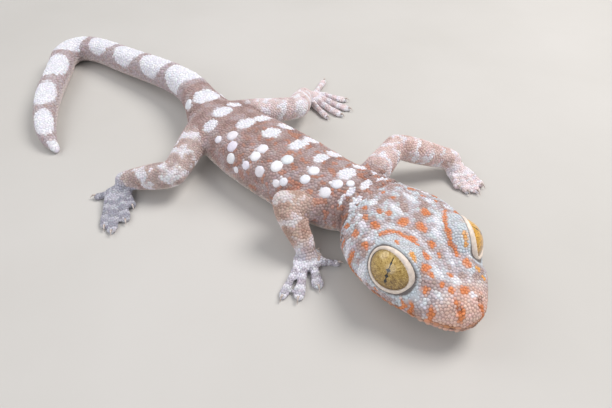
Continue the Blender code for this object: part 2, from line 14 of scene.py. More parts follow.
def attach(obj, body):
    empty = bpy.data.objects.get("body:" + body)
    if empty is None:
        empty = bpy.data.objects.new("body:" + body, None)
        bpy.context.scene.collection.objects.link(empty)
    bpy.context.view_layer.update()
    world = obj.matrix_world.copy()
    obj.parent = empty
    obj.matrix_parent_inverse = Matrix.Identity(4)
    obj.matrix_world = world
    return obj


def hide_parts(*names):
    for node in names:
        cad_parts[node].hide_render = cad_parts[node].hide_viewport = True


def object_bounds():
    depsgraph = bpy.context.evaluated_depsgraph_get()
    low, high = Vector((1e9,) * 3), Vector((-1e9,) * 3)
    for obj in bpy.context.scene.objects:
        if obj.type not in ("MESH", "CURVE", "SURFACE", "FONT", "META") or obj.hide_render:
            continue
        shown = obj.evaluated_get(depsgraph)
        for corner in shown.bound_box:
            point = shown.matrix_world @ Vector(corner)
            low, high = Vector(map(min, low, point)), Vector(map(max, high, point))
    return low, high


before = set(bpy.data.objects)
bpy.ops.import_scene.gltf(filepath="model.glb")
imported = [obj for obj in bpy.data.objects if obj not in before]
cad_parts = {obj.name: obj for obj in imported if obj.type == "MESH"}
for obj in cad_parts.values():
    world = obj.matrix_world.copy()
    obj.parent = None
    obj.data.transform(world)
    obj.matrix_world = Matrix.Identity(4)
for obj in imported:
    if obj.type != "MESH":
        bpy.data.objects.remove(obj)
cad_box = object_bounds()

MM = 0.001
SEED = 11
# The solids' box, which the scales stay inside, a little above the floor.
BOX_LOW, BOX_HIGH = (np.array(list(corner)) / MM for corner in cad_box)
BOX_LOW[2] = 0.01

# The animal's own sizes, as the solids have them.
SNOUT_TO_VENT = 65.0
HEAD_LENGTH = 0.33 * SNOUT_TO_VENT
HEAD_WIDTH = 0.272 * SNOUT_TO_VENT
TRUNK_WIDTH = 0.217 * SNOUT_TO_VENT
BACK_HEIGHT = 0.135 * SNOUT_TO_VENT
TAIL_THICKNESS = 0.088 * SNOUT_TO_VENT
EYE_RADIUS = 0.0508 * SNOUT_TO_VENT
SECTION_POWER = 2.3

HEAD_TURN = math.radians(-19.0)
SNOUT = np.array((39.4, -5.0, 0.0))
FORWARD = np.array((math.cos(HEAD_TURN), math.sin(HEAD_TURN), 0.0))
LEFT = np.array((-math.sin(HEAD_TURN), math.cos(HEAD_TURN), 0.0))
UP = np.array((0.0, 0.0, 1.0))

# Share of the head's length from the snout, half width as a share of the head's width,
# then the heights of the crown, the widest level, the mouth line and the chin.
HEAD_PROFILE = (
    (0.0, 0.0, 4.1, 3.8, 3.5, 3.4), (0.016, 0.09, 5.3, 3.8, 3.45, 2.8),
    (0.07, 0.183, 6.5, 3.9, 3.4, 2.2), (0.145, 0.266, 7.4, 4.2, 3.35, 1.9),
    (0.255, 0.356, 8.2, 4.6, 3.3, 1.7), (0.365, 0.426, 8.8, 4.8, 3.25, 1.6),
    (0.475, 0.473, 9.4, 5.0, 3.25, 1.5), (0.58, 0.496, 9.9, 5.1, 3.3, 1.4),
    (0.68, 0.502, 10.1, 5.0, 3.55, 1.4), (0.8, 0.48, 10.1, 4.9, 4.1, 1.4),
    (0.9, 0.427, 9.8, 4.8, 4.6, 1.4), (1.0, 0.35, 9.4, 4.7, 4.7, 1.4),
)
MOUTH_END = 0.71

# Body stations from the neck to the tip of the tail: x, y, half width, top, widest
# level, underside. Then the tail's: x, y, height, radius as a share of its thickness.
TRUNK_STATIONS = (
    (16.2, 1.6, 5.8, 9.1, 4.4, 0.8), (12.8, 1.0, 0.424 * TRUNK_WIDTH, 8.9, 4.0, 0.0),
    (8.0, 0.7, 0.47 * TRUNK_WIDTH, BACK_HEIGHT, 3.8, -0.4),
    (2.0, 0.6, 0.495 * TRUNK_WIDTH, BACK_HEIGHT, 3.7, -0.4),
    (-5.0, 0.6, 0.5 * TRUNK_WIDTH, 8.5, 3.6, -0.4), (-11.0, 0.7, 0.465 * TRUNK_WIDTH, 8.1, 3.5, -0.4),
    (-16.0, 0.9, 0.4 * TRUNK_WIDTH, 7.7, 3.5, -0.2), (-20.0, 1.5, 0.325 * TRUNK_WIDTH, 7.3, 3.7, 0.3),
)
TAIL_STATIONS = (
    (-24.2, 2.7, 4.2, 0.6), (-29.3, 4.1, 4.6, 0.53), (-35.8, 4.7, 4.3, 0.5), (-43.6, 4.0, 3.9, 0.49),
    (-52.8, 2.7, 3.4, 0.48), (-61.0, 1.6, 3.0, 0.465), (-65.8, -0.9, 2.75, 0.455),
    (-65.1, -4.9, 2.65, 0.45), (-60.2, -8.8, 2.55, 0.44), (-50.7, -16.1, 2.3, 0.41),
    (-43.0, -20.4, 1.9, 0.34), (-38.4, -22.0, 1.4, 0.25), (-35.0, -22.3, 0.8, 0.11),
)
NECK_START = 0.6
NECK_OVERLAP = 0.14
TAIL_END = 0.4
PROFILE_STEPS = 12
ROUTE_STEPS = 8
BODY_STEPS = 12
BODY_SIDES = 72
BALL_STEPS = 20
BALL_SIDES = 40
NECK_TURN_ROWS = 28

# Shoulder or hip, elbow or knee, wrist or ankle and palm, radii at the first three, and
# each digit's tip with the width of its pad.
LIMBS = {
    "front_right": {
        "joints": ((14.2, -1.6, 4.2), (9.3, -7.6, 6.6), (14.7, -8.8, 2.3), (16.0, -9.5, 1.0)),
        "radii": (2.0, 1.8, 1.5),
        "digits": (((19.9, -5.9), 1.4), ((20.9, -12.2), 2.3), ((20.1, -15.8), 2.2),
                   ((18.2, -17.2), 1.8), ((15.3, -6.1), 1.5)),
    },
    "front_left": {
        "joints": ((14.0, 4.0, 4.6), (12.2, 15.0, 6.4), (18.4, 23.1, 2.5), (20.5, 22.8, 1.0)),
        "radii": (2.1, 1.9, 1.65),
        "digits": (((23.0, 19.6), 1.8), ((24.7, 19.7), 2.0), ((25.9, 20.9), 2.1),
                   ((25.6, 23.0), 1.9), ((18.6, 26.8), 1.6)),
    },
    "hind_right": {
        "joints": ((-18.4, -1.0, 4.2), (-10.2, -13.6, 4.2), (-17.2, -18.9, 2.0), (-16.4, -20.8, 1.0)),
        "radii": (2.4, 2.0, 1.5),
        "digits": (((-11.6, -21.0), 1.8), ((-9.4, -23.7), 2.2), ((-8.9, -26.6), 2.3),
                   ((-10.6, -26.8), 2.1), ((-19.4, -24.4), 1.8)),
    },
    "hind_left": {
        "joints": ((-18.0, 3.0, 4.2), (-10.0, 14.2, 4.4), (-15.4, 21.4, 2.0), (-14.7, 23.3, 1.0)),
        "radii": (2.4, 2.0, 1.5),
        "digits": (((-7.0, 20.2), 1.9), ((-5.6, 23.0), 2.2), ((-6.0, 25.9), 2.3),
                   ((-9.0, 28.4), 2.2), ((-18.9, 31.6), 1.9)),
    },
}
LIMB_STEPS = 14
LIMB_SIDES = 36
CAP_STEPS = 6
MUSCLE_SWELL = 0.36
MUSCLE_SKEW = 0.7
PALM_HALF_LENGTH = 1.8
PALM_HALF_WIDTH = 2.3
PALM_HEIGHT = 1.9
PALM_END_RADIUS = 1.0
WRIST_FLARE = 1.15
DIGIT_HEIGHT = 1.15
DIGIT_STEPS = 26
DIGIT_SIDES = 24
LEADING_DIGITS = 4
DIGIT_ROOT_AHEAD = 0.6
DIGIT_ROOT_PITCH = 1.1
DIGIT_ROUND_END = 0.86
DIGIT_SLIM = 0.8
# How far a pad narrows and flattens at its round end.
DIGIT_END = (0.97, 0.72)
DIGIT_FLATNESS = 1.15
DIGIT_CLAW_SHARE = 0.55
DIGIT_ROOT_HEIGHT = 0.4
DIGIT_END_REACH = 0.02
DIGIT_PROFILE = (
    (0.0, 0.62, 1.38), (0.25, 0.66, 1.32), (0.45, 0.7, 1.1), (0.62, 0.86, 0.92), (0.78, 1.0, 0.82),
    (0.91, 0.92, 0.74), (1.0, 0.8, 0.66),
)
CLAW_LENGTH = 1.1
CLAW_TIP_HEIGHT = 0.28
CLAW_STEPS = 10
CLAW_SIDES = 10
# Height of a claw's root, its rise on the way and its fall to the tip, then its thickness.
CLAW_ARCH = (0.5, 0.34, 0.28)
CLAW_RADII = (0.2, 0.03)
# How fast a claw's arch runs and where it starts, its width to its height, its root's reach.
CLAW_TOP = (0.9, 0.12)
CLAW_SLIM = 0.8
CLAW_ROOT = 0.1

# The eyes and their lids.
EYE_BACK = 10.1
EYE_OUT = 4.9
EYE_HEIGHT = 6.7
EYE_LOOK_FORWARD = math.radians(30.0)
EYE_LOOK_UP = math.radians(33.0)
PUPIL_LOOK_FORWARD = math.radians(33.0)
PUPIL_LOOK_UP = math.radians(35.5)
BROW_THICKNESS = 0.55
LID_HALF_LENGTH = 3.0
LID_HALF_HEIGHT = 2.35
LID_TILT = math.radians(-24.0)
LID_RADIUS_ABOVE = 0.46
LID_RADIUS_BELOW = 0.2
LID_BROAD_WAY = math.radians(38.0)
LID_SLOPE = 0.85
LID_CLEAR = 0.42
LID_MEAN_HALF = 2.7
EYE_SURROUND = 2.2
LID_STEPS = 120
LID_SIDES = 12
LID_PROUD = 0.1
LID_FLATNESS = 0.8
# Number of scallops round a lid, their depth and its roughness.
LID_SCALLOPS = 36.0
LID_SCALLOP = 0.05
LID_ROUGHNESS = 0.03
# How far the skin stands off the eye at its lid, and lies below its surface inside.
LID_SEAT = 0.14
SOCKET_DEPTH = 0.45
SOCKET_EDGE = (0.02, -0.16)
EYE_STEPS = 48
EYE_SIDES = 72

# The skin's own mesh.
VOXEL = 0.23
COAT_DEPTH = 0.075
SMOOTHING = 0.5
SMOOTH_ROUNDS = 8
FOOT_SMOOTHING = 0.3
FILLET_ROUNDS = 40
FILLET_REACH = 3.2
FILLET_SOFTNESS = 1.2
FILLET_SHARES = (0.35, 0.6)

# Painted shade that darkens the skin, which shows in the gaps between scales, and the sunk edges of scales,
# and how far scales overlap.
SKIN_PAINTED_SHADE = 0.82
SINK_PAINTED_SHADE = 0.82
HEAD_SINK_PAINTED_SHADE = 0.5
SCALE_OVERLAP = 1.06

# The camera stands where the photograph's stood.
CAMERA_PLACE = (50.693, -45.195, 56.5)
CAMERA_HEADING = math.radians(134.532)
CAMERA_PITCH = math.radians(42.0)
FOCAL_PIXELS = 520.0
FRAME_PIXELS = 612.0
SENSOR_WIDTH = 36.0

# Where forms of the head end: behind its end, off its midline, near the floor and by tilt.
HEAD_END = (0.3, -1.2)
HEAD_REACH = 9.5
HEAD_LOWEST = 1.0
SIDE_TILT = (0.3, 0.6)
FOLDS_FROM = (-0.9, 0.2)
SKIN_FLOOR = 0.02
# Places of a nostril and an ear on the head, and the ear's size along, up and out.
NOSTRIL = (1.5, 1.55, 6.1)
EAR = (18.6, 7.6, 5.0)
EAR_SIZE = (0.5, 1.15, 2.5)
# Raised and sunk forms of the skin: height, distance from their middle and width.
MOUTH_GROOVE = (-0.34, 0.0, 0.2)
LIP_SWELL = (0.08, 0.6, 0.3)
NOSTRIL_FORMS = ((-0.42, 0.0, 0.34), (0.12, 0.62, 0.22))
EAR_FORMS = ((-0.7, 0.0, 0.75), (0.16, 1.55, 0.4))
# Distance behind the head and depth of each fold of the neck, and the swell beside it.
NECK_FOLDS = ((0.5, 0.34), (1.9, 0.26), (3.3, 0.22), (4.8, 0.12))
FOLD_WIDTH = 0.3
FOLD_WAVE = 0.35
FOLD_SWELL = (0.4, 0.75, 0.4)
# Distance behind the head and strength of the painted shade in each fold's crease.
NECK_CREASE_SHADOWS = ((0.45, 0.9), (1.9, 0.55), (3.3, 0.35))
UNEVENNESS = 0.07

# Kinds of skin, and samples along the head, round the body and along limbs and digits.
HEAD, BODY, LIMB_KIND, DIGIT = range(4)
HEAD_SAMPLES = 60
HEAD_SAMPLE_ENDS = (0.02, 0.97)
ARC_STEPS = 65
LIMB_SAMPLE_PITCH = 0.4
DIGIT_SAMPLES = 16
DIGIT_SAMPLE_START = 0.15
DIGIT_MIDDLE = 0.5
DIGIT_RADIUS = 0.45
PALM_RADIUS = 1.3
DIGIT_STATIONS = 4.0
# A point is a limb's where that is nearer than the body by this share, and the spine reaches
# past the tip of the tail by this one.
LIMB_PREFERENCE = 0.98
SPINE_REACH = 0.9

# Size in millimetres and shift of each field of noise.
NOISE = {
    "folds": (2.4, 3.0), "unevenness": (3.0, 9.0),
    "head_back": (0.9, 21.0), "head_out": (0.9, 37.0), "head_coarse": (1.2, 51.0),
    "head_fine": (0.6, 65.0), "head_dark": (0.5, 197.0),
    "body_warp": (1.1, 81.0), "body_coarse": (2.0, 93.0), "body_fine": (0.7, 107.0),
    "body_rust": (0.95, 119.0),
    "limb_coarse": (1.4, 131.0), "limb_fine": (0.6, 149.0), "limb_gaps": (1.9, 157.0),
    "limb_rust": (1.0, 163.0),
    "neck_join": (1.2, 173.0), "limb_join": (1.5, 181.0),
}


def linear(red, green, blue):
    """A colour as it looks on screen, from 0 to 255, turned into light."""
    shown = np.array((red, green, blue)) / 255.0
    return np.where(shown <= 0.04045, shown / 12.92, ((shown + 0.055) / 1.055) ** 2.4)


WHITE = linear(246, 246, 254)
MAUVE = linear(180, 154, 150)
MAUVE_DARK = linear(148, 121, 116)
MAUVE_PALE = linear(196, 182, 186)
RUST = linear(196, 128, 96)
ORANGE = linear(234, 136, 66)
ORANGE_BRIGHT = linear(246, 172, 76)
HEAD_GREY = linear(206, 195, 201)
HEAD_BLUE = linear(218, 227, 234)
HEAD_BROWN = linear(182, 156, 149)
HEAD_DARK = linear(160, 134, 128)
SNOUT_PINK = linear(240, 198, 182)
LIP_BROWN = linear(196, 128, 82)
MOUTH_DARK = linear(132, 80, 54)
JAW = linear(226, 184, 164)
BELLY = linear(232, 222, 216)
LID_CREAM = linear(248, 232, 218)
LID_SHADOW = linear(96, 78, 70)
# The left iris is painted warmer and brighter: painted light, as the eye stands against the light.
LEFT_EYE_PAINTED_LIGHT = np.array((1.35, 1.05, 0.45))
CLAW_TIP = linear(178, 160, 150)
CLAW_BASE = linear(224, 214, 208)

# For each limb in turn: ground, its darker mottles, the foot, the pitch, start and strength
# of its bars, and the strength of the white on its foot.
# The left limbs' colours are painted lighter, as painted light on the side that faces the light, and the hind
# right foot's darker, as painted shade.
LIMB_GROUND = np.array([linear(*tone) for tone in (
    (206, 178, 166), (230, 204, 200), (200, 180, 176), (230, 212, 212))])
LIMB_DARK = np.array([linear(*tone) for tone in (
    (176, 144, 130), (206, 174, 164), (174, 152, 148), (206, 182, 180))])
FOOT = np.array([linear(*tone) for tone in (
    (202, 197, 208), (244, 226, 227), (166, 165, 178), (238, 220, 222))])
LIMB_BARS = np.array(((3.2, 2.0, 0.55), (2.7, 1.2, 0.85), (4.3, 3.0, 0.8), (3.2, 1.6, 0.85)))
FOOT_WHITE = np.array((0.8, 0.75, 0.35, 0.75))
# Bars slant round a limb and waver, their edges are soft, and gaps and blotches break them up.
BAR_SLANT = 0.5
BAR_WAVE = 1.2
BAR_EDGE = (0.1, 0.7)
BAR_GAPS = (-0.35, 0.1)
LIMB_BLOTCHES = (0.28, 0.5)
KNUCKLES = 4.0
KNUCKLE_START = 0.45
DIGIT_SHADE = 0.94

# Layers of colour: the colour, its strength, and the values where it starts and is full.
HEAD_FLECKS = (HEAD_DARK, 0.4, 0.12, 0.4)
DOME_BLUE = (HEAD_BLUE, 0.7, 5.5, 7.0)
CROWN_BROWN = (HEAD_BROWN, 0.45, -0.1, 0.3)
SNOUT_BLUSH = (SNOUT_PINK, 0.85, 5.6, 2.0)
NAPE_ORANGE = (RUST, 0.5, 12.0, 18.0)
JAW_TINT = (JAW, 1.0, 0.1, -0.3)
CHIN_TINT = (BELLY, 1.0, -0.5, -1.4)
LIP_TINT = (LIP_BROWN, 0.9, -0.7, 0.1)
LID_RING = (HEAD_BLUE, 0.8, 0.2, 0.13)
# Painted shadow in a thin line round each lid.
LID_SHADOW_LINE = (LID_SHADOW, 0.85, 0.07, 0.03)
BODY_RUST = (RUST, 0.66, 0.1, 0.32)
BELLY_TINT = (BELLY, 0.9, 1.0, 1.35)
TAIL_MOTTLE = (MAUVE, 0.7, 0.0, 0.4)
TAIL_BAND = (WHITE, 0.97, 1.06, 0.92)
TAIL_BELLY = (BELLY, 0.6, 1.15, 1.6)
LIMB_RUST = (RUST, 0.15, 0.3, 0.5)
LIMB_BELLY = (BELLY, 0.6, 1.9, 2.5)
FOOT_BLOTCHES = (WHITE, 0.7, 0.1, 0.4)
KNUCKLE_WHITE = (WHITE, 1.0, 0.0, 0.7)
# The same for layers whose colour is each limb's own.
LIMB_MOTTLE = (0.8, 0.0, 0.4)
FOOT_MOTTLE = (0.5, 0.1, 0.5)
FOOT_FADE = (1.0, -1.0, 1.5)
# Shares of coarse and fine noise, and the layer that follows them.
HEAD_MOTTLES = ((1.0, 0.55, (HEAD_BROWN, 0.85, 0.0, 0.34)), (-1.0, 0.6, (HEAD_BLUE, 0.9, 0.03, 0.3)))
BODY_MOTTLES = ((1.0, 0.5, (MAUVE_DARK, 0.6, 0.0, 0.45)), (-1.0, 0.4, (MAUVE_PALE, 0.6, 0.05, 0.4)))
# Where layers fade: round the domes of the eyes, beside and along the crown, and down the back.
DOME_EDGE = (3.5, 2.6)
CROWN_EDGE = (2.4, 1.2)
CROWN_PLACE = (9.0, 2.4)
RUST_END = (34.0, 16.0)
CREASE_SIDE = (2.0, 4.5)
ABOVE_MOUTH = (0.1, 0.7)
# Softness of the edges of the head's white, orange and yellow marks and of the trunk's spots.
WHITE_EDGE = 0.35
ORANGE_EDGE = 0.3
SPOT_EDGE = 0.12
# Strength of the head's white, its pale bands, orange, yellow and the line of the mouth, and
# of the trunk's spots and the limbs' blotches.
HEAD_WHITE = 0.92
BAND_WHITE = 0.6
HEAD_ORANGE = 0.88
HEAD_YELLOW = 0.92
MOUTH_LINE = 0.8
SPOT_WHITE = 0.97
BLOTCH_WHITE = 0.9
# Height above the line of the mouth and width of its brown edge, and its own width.
LIP_EDGE = (0.45, 0.45)
MOUTH_LINE_WIDTH = 0.12

# Colours fade from head to neck and from body to limb between these stations.
HEAD_COLOURS_END = 1.2
NECK_JOIN = (-0.7, 1.0, 0.5)
LIMB_JOIN = (3.0, 6.5, 1.0)
HEAD_WARP = 0.24
SKIN_GIRTH = ((0.0, 20.0, 38.0, 60.0, 120.0), (8.2, 9.6, 7.2, 4.6, 2.2))

# White spots of the neck and trunk: distance behind the head, distance over the skin from
# the midline with the animal's left positive, half length and half width.
TRUNK_SPOTS = (
    (2.4, -0.5, 0.45, 0.95), (1.6, 2.4, 0.4, 0.95), (1.7, -4.1, 0.6, 1.15), (3.4, -2.6, 0.42, 0.8),
    (4.2, -4.4, 0.34, 0.8), (4.5, -1.4, 0.36, 0.5), (3.2, 4.0, 0.46, 0.9),
    (6.1, 0.5, 1.1, 1.3), (5.9, 4.0, 1.0, 1.05), (6.3, -2.2, 0.7, 0.65), (7.0, -4.2, 0.7, 0.65),
    (11.9, 1.1, 0.75, 1.15), (11.7, 4.3, 0.9, 1.3), (10.9, -2.0, 0.72, 0.7), (10.9, -3.9, 0.65, 0.62),
    (13.6, -5.9, 0.55, 0.52), (14.7, -6.8, 0.5, 0.46),
    (16.9, 1.3, 0.95, 1.45), (17.2, 4.6, 1.0, 1.25), (15.6, -2.6, 0.76, 0.72), (16.2, -4.5, 0.8, 0.76),
    (18.3, -6.6, 0.72, 0.68),
    (22.6, 0.7, 1.1, 1.35), (23.1, 4.6, 1.1, 1.15), (20.7, -3.2, 0.75, 0.7), (20.7, -4.9, 0.72, 0.68),
    (21.3, -6.9, 0.58, 0.56), (23.1, -8.6, 0.45, 0.42),
    (28.0, -0.2, 1.05, 1.5), (27.5, 3.2, 0.9, 1.4), (27.4, -3.8, 0.8, 0.76), (25.8, -5.4, 0.78, 0.76),
    (24.8, -7.3, 0.72, 0.68), (29.4, -5.6, 0.55, 0.52),
    (34.5, -0.4, 1.25, 1.5), (35.6, 3.0, 1.05, 1.05), (33.2, -4.1, 1.0, 1.1),
    (41.8, 0.2, 1.55, 2.1), (42.2, -3.7, 0.82, 0.8), (42.2, 4.3, 0.8, 0.8),
)
SPOT_GROWTH = 1.28
ROUND_SPOT_LIMIT = 1.05
ROUND_SPOT_RATIO = 0.7
# The left flank repeats the right flank's spots, further down by this distance.
MIRROR_ARC = 5.2
MIRROR_FROM = -2.3
# Start of the tail's colours, the middles of its white bands, and a band's half
# length as a share of their pitch and half width as a share of the tail's girth.
TAIL_START = 47.0
TAIL_BLEND = 0.8
TAIL_BANDS = (41.8, 52.8, 61.4, 70.4, 79.6, 88.6, 99.8, 111.0, 119.8, 128.0)
TAIL_BAND_SIZE = (0.41, 1.04)

# Orange spots of the head: behind the snout, off the midline, half length and half width.
ORANGE_SPOTS = (
    (19.1, -4.1, 0.42, 0.37), (17.4, -5.0, 0.54, 0.47), (15.4, -4.8, 0.75, 0.42), (16.2, -7.1, 0.66, 0.5),
    (18.7, -7.0, 0.5, 0.36), (17.5, -8.2, 0.34, 0.2), (13.8, -7.1, 0.62, 0.44), (14.7, -8.6, 0.5, 0.26),
    (17.1, -3.1, 0.52, 0.45), (16.1, -2.3, 0.5, 0.42), (18.5, -0.1, 0.45, 0.48), (20.4, -0.4, 0.36, 0.32),
    (21.4, -2.1, 0.4, 0.34), (19.6, 3.8, 0.58, 0.52), (14.2, 2.1, 0.72, 0.62), (13.9, -1.6, 0.62, 0.86),
    (12.4, 0.2, 0.72, 0.62), (12.9, -9.0, 0.42, 0.2), (15.8, 5.1, 0.36, 0.32), (5.9, 2.7, 0.7, 0.62),
    (9.8, 0.1, 0.52, 0.46), (10.9, -4.6, 0.44, 0.38), (11.2, -2.1, 0.52, 0.7), (8.6, -1.5, 0.54, 0.48),
    (7.2, -2.6, 0.46, 0.68), (6.2, -2.4, 0.48, 0.44), (5.3, -0.2, 0.38, 0.34), (4.7, -1.9, 0.48, 0.42),
    (5.0, -4.0, 0.52, 0.42), (3.7, -1.2, 0.46, 0.42), (3.0, 0.3, 0.54, 0.5), (4.9, -5.8, 0.48, 0.26),
    (3.0, -4.3, 0.5, 0.34), (2.2, -1.5, 0.32, 0.3), (1.2, -1.5, 0.5, 0.56), (2.2, 2.1, 0.28, 0.25),
    (0.9, 1.5, 0.5, 0.48), (6.2, -6.3, 0.9, 0.16), (8.2, 0.1, 0.5, 0.18), (9.0, -8.2, 0.6, 0.16),
    (17.4, 6.2, 0.5, 0.45), (16.0, 8.0, 0.48, 0.44), (13.6, 7.2, 0.58, 0.5), (19.2, 7.0, 0.44, 0.4),
    (12.0, 8.6, 0.45, 0.38), (17.3, 4.1, 0.4, 0.36), (4.2, 5.6, 0.5, 0.38), (7.4, 5.7, 0.44, 0.34),
)
YELLOW_SPOTS = (
    (10.3, 5.3, 0.48, 0.42), (8.4, 4.1, 0.54, 0.48), (7.6, 3.7, 0.36, 0.32), (8.4, -4.0, 0.62, 0.5),
    (4.9, 3.8, 0.42, 0.36), (3.8, 4.0, 0.36, 0.32),
)
# White patches of the head, the same way.
WHITE_PATCHES = (
    (19.3, -2.7, 0.66, 0.6), (17.7, 2.0, 1.5, 0.42), (16.2, -1.1, 1.4, 0.46), (16.7, -5.9, 0.6, 0.55),
    (14.5, -6.6, 0.46, 0.42), (15.8, -8.5, 0.42, 0.4), (12.1, -8.8, 0.7, 0.62), (18.4, -5.4, 0.44, 0.4),
    (16.5, -8.0, 0.32, 0.3), (4.6, 0.0, 0.64, 0.58), (3.9, -3.0, 0.48, 0.42), (4.2, -4.6, 0.44, 0.4),
    (6.2, -1.4, 0.46, 0.42), (12.3, 2.8, 1.0, 0.4), (10.9, 1.6, 0.8, 0.42), (16.0, 4.2, 0.48, 0.44),
    (18.3, 5.2, 0.6, 0.46), (14.6, 6.2, 0.6, 0.45), (17.4, 7.2, 0.56, 0.48), (14.6, 8.4, 0.5, 0.44),
    (6.7, 1.1, 0.36, 0.32), (2.2, 0.9, 0.3, 0.28), (6.6, 3.6, 0.4, 0.34),
)
# Lines of orange scales that border the domes of the eyes, from behind the eye forward.
BROW_LINES = (
    ((13.9, -5.1), (13.7, -4.2), (13.0, -3.3), (12.3, -2.9), (11.3, -2.3), (10.3, -1.8)),
    ((9.1, -1.7), (8.3, -1.6)),
    ((14.0, 5.5), (13.1, 4.4), (11.1, 3.1), (9.8, 2.6), (8.9, 2.3), (7.9, 2.3), (7.3, 2.2)),
)
BROW_LINE_EDGE = (0.37, 0.13)
# Pale bands that run beside the brow lines, nearer to the midline.
BROW_BANDS = (
    ((13.9, -6.2), (14.7, -5.6), (14.8, -4.3), (13.6, -3.0), (12.6, -1.9), (11.3, -1.0), (10.0, -0.9),
     (8.7, -1.0), (7.4, -1.4), (6.2, -1.5), (5.5, -1.4)),
    ((13.4, 3.4), (11.2, 2.1), (9.4, 1.6), (7.6, 1.3)),
)
BROW_BAND_EDGE = (0.46, 0.16)

# Distance between the middles of neighbouring scales by where they are.
SCALE_PITCH = {
    "body": 0.37, "tail": 0.44, "belly": 0.62, "head": 0.33,
    "brow": 0.28, "jaw": 0.4, "limb": 0.33, "digit": 0.29,
}
TAIL_PITCH_FROM = 40.0
BELLY_FROM = 10.5
# Middle of a brow off the midline, its reach and its lowest point.
BROW_OUT = 4.6
BROW_REACH = 3.4
BROW_HEIGHT = 6.0
# How far places are shaken, the rounds that even them out, and how scales' tints differ, all
# of a tint and each of its parts.
PLACE_JITTER = 0.01
EVEN_ROUNDS = 2
TINT_NOISE = (0.05, 0.02)
# Radius of a scale of plain height, and the least and greatest share of that height.
PLAIN_RADIUS = 0.2
SCALE_RISE = (0.7, 1.4)
# Where the trunk's scales are parted into two pieces, and the tail's begin.
TRUNK_MIDDLE = 18.0
TAIL_SCALES = 37.0
# Reach and rise of each ring of a scale, as shares of its radius and height, the points in a
# ring, and half the size of a scale's patch of the unwrap.
SMALL_DOME = ((1.0, -0.4), (0.7, 0.66))
LARGE_DOME = ((1.0, -0.9), (0.92, 0.36), (0.58, 0.86))
SMALL_SIDES = 6
LARGE_SIDES = 18
PATCH_HALF = 0.0015

# Larger scales: how far smaller ones keep off them, how far they cover the skin, how
# closely they may lie, and how far from the skin their place may be.
RAISED_MARGIN = 0.17
RAISED_SKIRT = 0.04
RAISED_PACKING = 0.86
RAISED_SEARCH = 1.2
DISC_HEIGHT = 0.18
LABIAL_COUNT = 17
LABIAL_START = 0.5
LABIAL_PITCH = 0.84
LABIAL_LIFT = 0.44
LABIAL_RADII = (0.4, 0.36)
LABIAL_HEIGHT = 0.07
# Stations of the rows of tubercles along the back, and of the whorls round the tail. A whorl's
# scales lie at shares of the tail's half width, and their radius grows with it.
TUBERCLES = np.arange(1.5, 38.0, 1.45)
TUBERCLES_A_SIDE = 5
TUBERCLE_SPACING = 1.7
TUBERCLE_RADIUS = 0.28
TUBERCLE_HEIGHT = 0.14
WHORLS = np.arange(40.0, 118.0, 2.9)
WHORL_SHARES = (0.3, 0.82, 1.34)
WHORL_RADII = (0.12, 0.1)
WHORL_HEIGHT = 0.15

# Skin without scales: the soles' tilt and height, the lid's, nostril's and lips' reach, and
# the ear's size along and up.
BARE_SOLE = (-0.7, 0.12)
BARE_LID = 0.1
BARE_NOSTRIL = 0.32
BARE_LIPS = 0.15
BARE_LIP_TILT = 0.7
BARE_EAR = (0.42, 1.0)

# Materials: the range of noise that shows, the light that it gives, how uneven the gloss is
# and how strong the relief. Fine grain is so many times as fine as the mottling.
GRAIN = (0.3, 0.7)
GRAIN_LIGHT = (0.92, 1.06)
FINE_GRAIN = 4.0
COAT_UNEVEN = 0.1
COAT_RELIEF = 0.5
COAT_SPECULAR = 0.42
PLAIN_UNEVEN = 0.08
PLAIN_RELIEF = 0.4

# The pupil is a hair line with beads: height of each bead and its half width.
PUPIL_HALF = 1.85
PUPIL_WIDTH = 0.07
PUPIL_BEAD = 0.24
PUPIL_ENDS = 0.25
PUPIL_BEADS = ((0.08, 0.26), (-0.68, 0.22), (-1.35, 0.16), (0.95, 0.08))
# Places and colours along the iris's ramp, and how far its top is paler than its foot.
IRIS = ((0.32, (84, 58, 24)), (0.43, (140, 108, 50)), (0.5, (184, 150, 78)), (0.58, (214, 184, 112)),
        (0.7, (240, 220, 168)))
IRIS_RISE = 0.036
IRIS_RIM = (74, 54, 30)
IRIS_RIM_EDGE = (2.2, 3.1, 0.0, 0.75)
# Veins are noise whose places turn and draw out by these; then scale, detail, roughness and
# distortion of veins and flecks.
VEIN_TURN = 3.2
VEIN_DRAW = 0.8
VEIN_NOISE = (2.6, 7.0, 0.62, 0.9)
FLECK_NOISE = (4.2, 6.0, 0.7, 1.8)
PUPIL_SHARPNESS = 60.0
PUPIL_BLACK = (0.002, 0.002, 0.002, 1.0)
WET_EYE = (("Roughness", 0.35), ("Coat Weight", 1.0), ("Coat Roughness", 0.03), ("Specular IOR Level", 0.5))

# Name, place, width, power and colour of each light, then the floor and surroundings.
LIGHTS = (
    ("key", (60.0, 170.0, 260.0), 180.0, 0.78, (1.0, 0.97, 0.94)),
    ("fill", (60.0, -240.0, 170.0), 240.0, 0.25, (0.96, 0.97, 1.0)),
    ("side", (-220.0, -60.0, 200.0), 200.0, 0.19, (1.0, 0.98, 0.97)),
)
FLOOR_HALF = 900.0
FLOOR_TONES = ((200, 197, 192), (207, 204, 200))
WORLD_COLOUR = (0.92, 0.95, 1.0, 1.0)
WORLD_STRENGTH = 0.37


def smooth_step(low, high, values):
    """Soft step from 0 at low to 1 at high."""
    share = np.clip((values - low) / (high - low), 0.0, 1.0)
    return share * share * (3.0 - 2.0 * share)


def mix(under, over, share):
    """Blend rows of colours, or one colour, by a share for each row."""
    share = np.asarray(share)[..., None]
    return under * (1.0 - share) + over * share


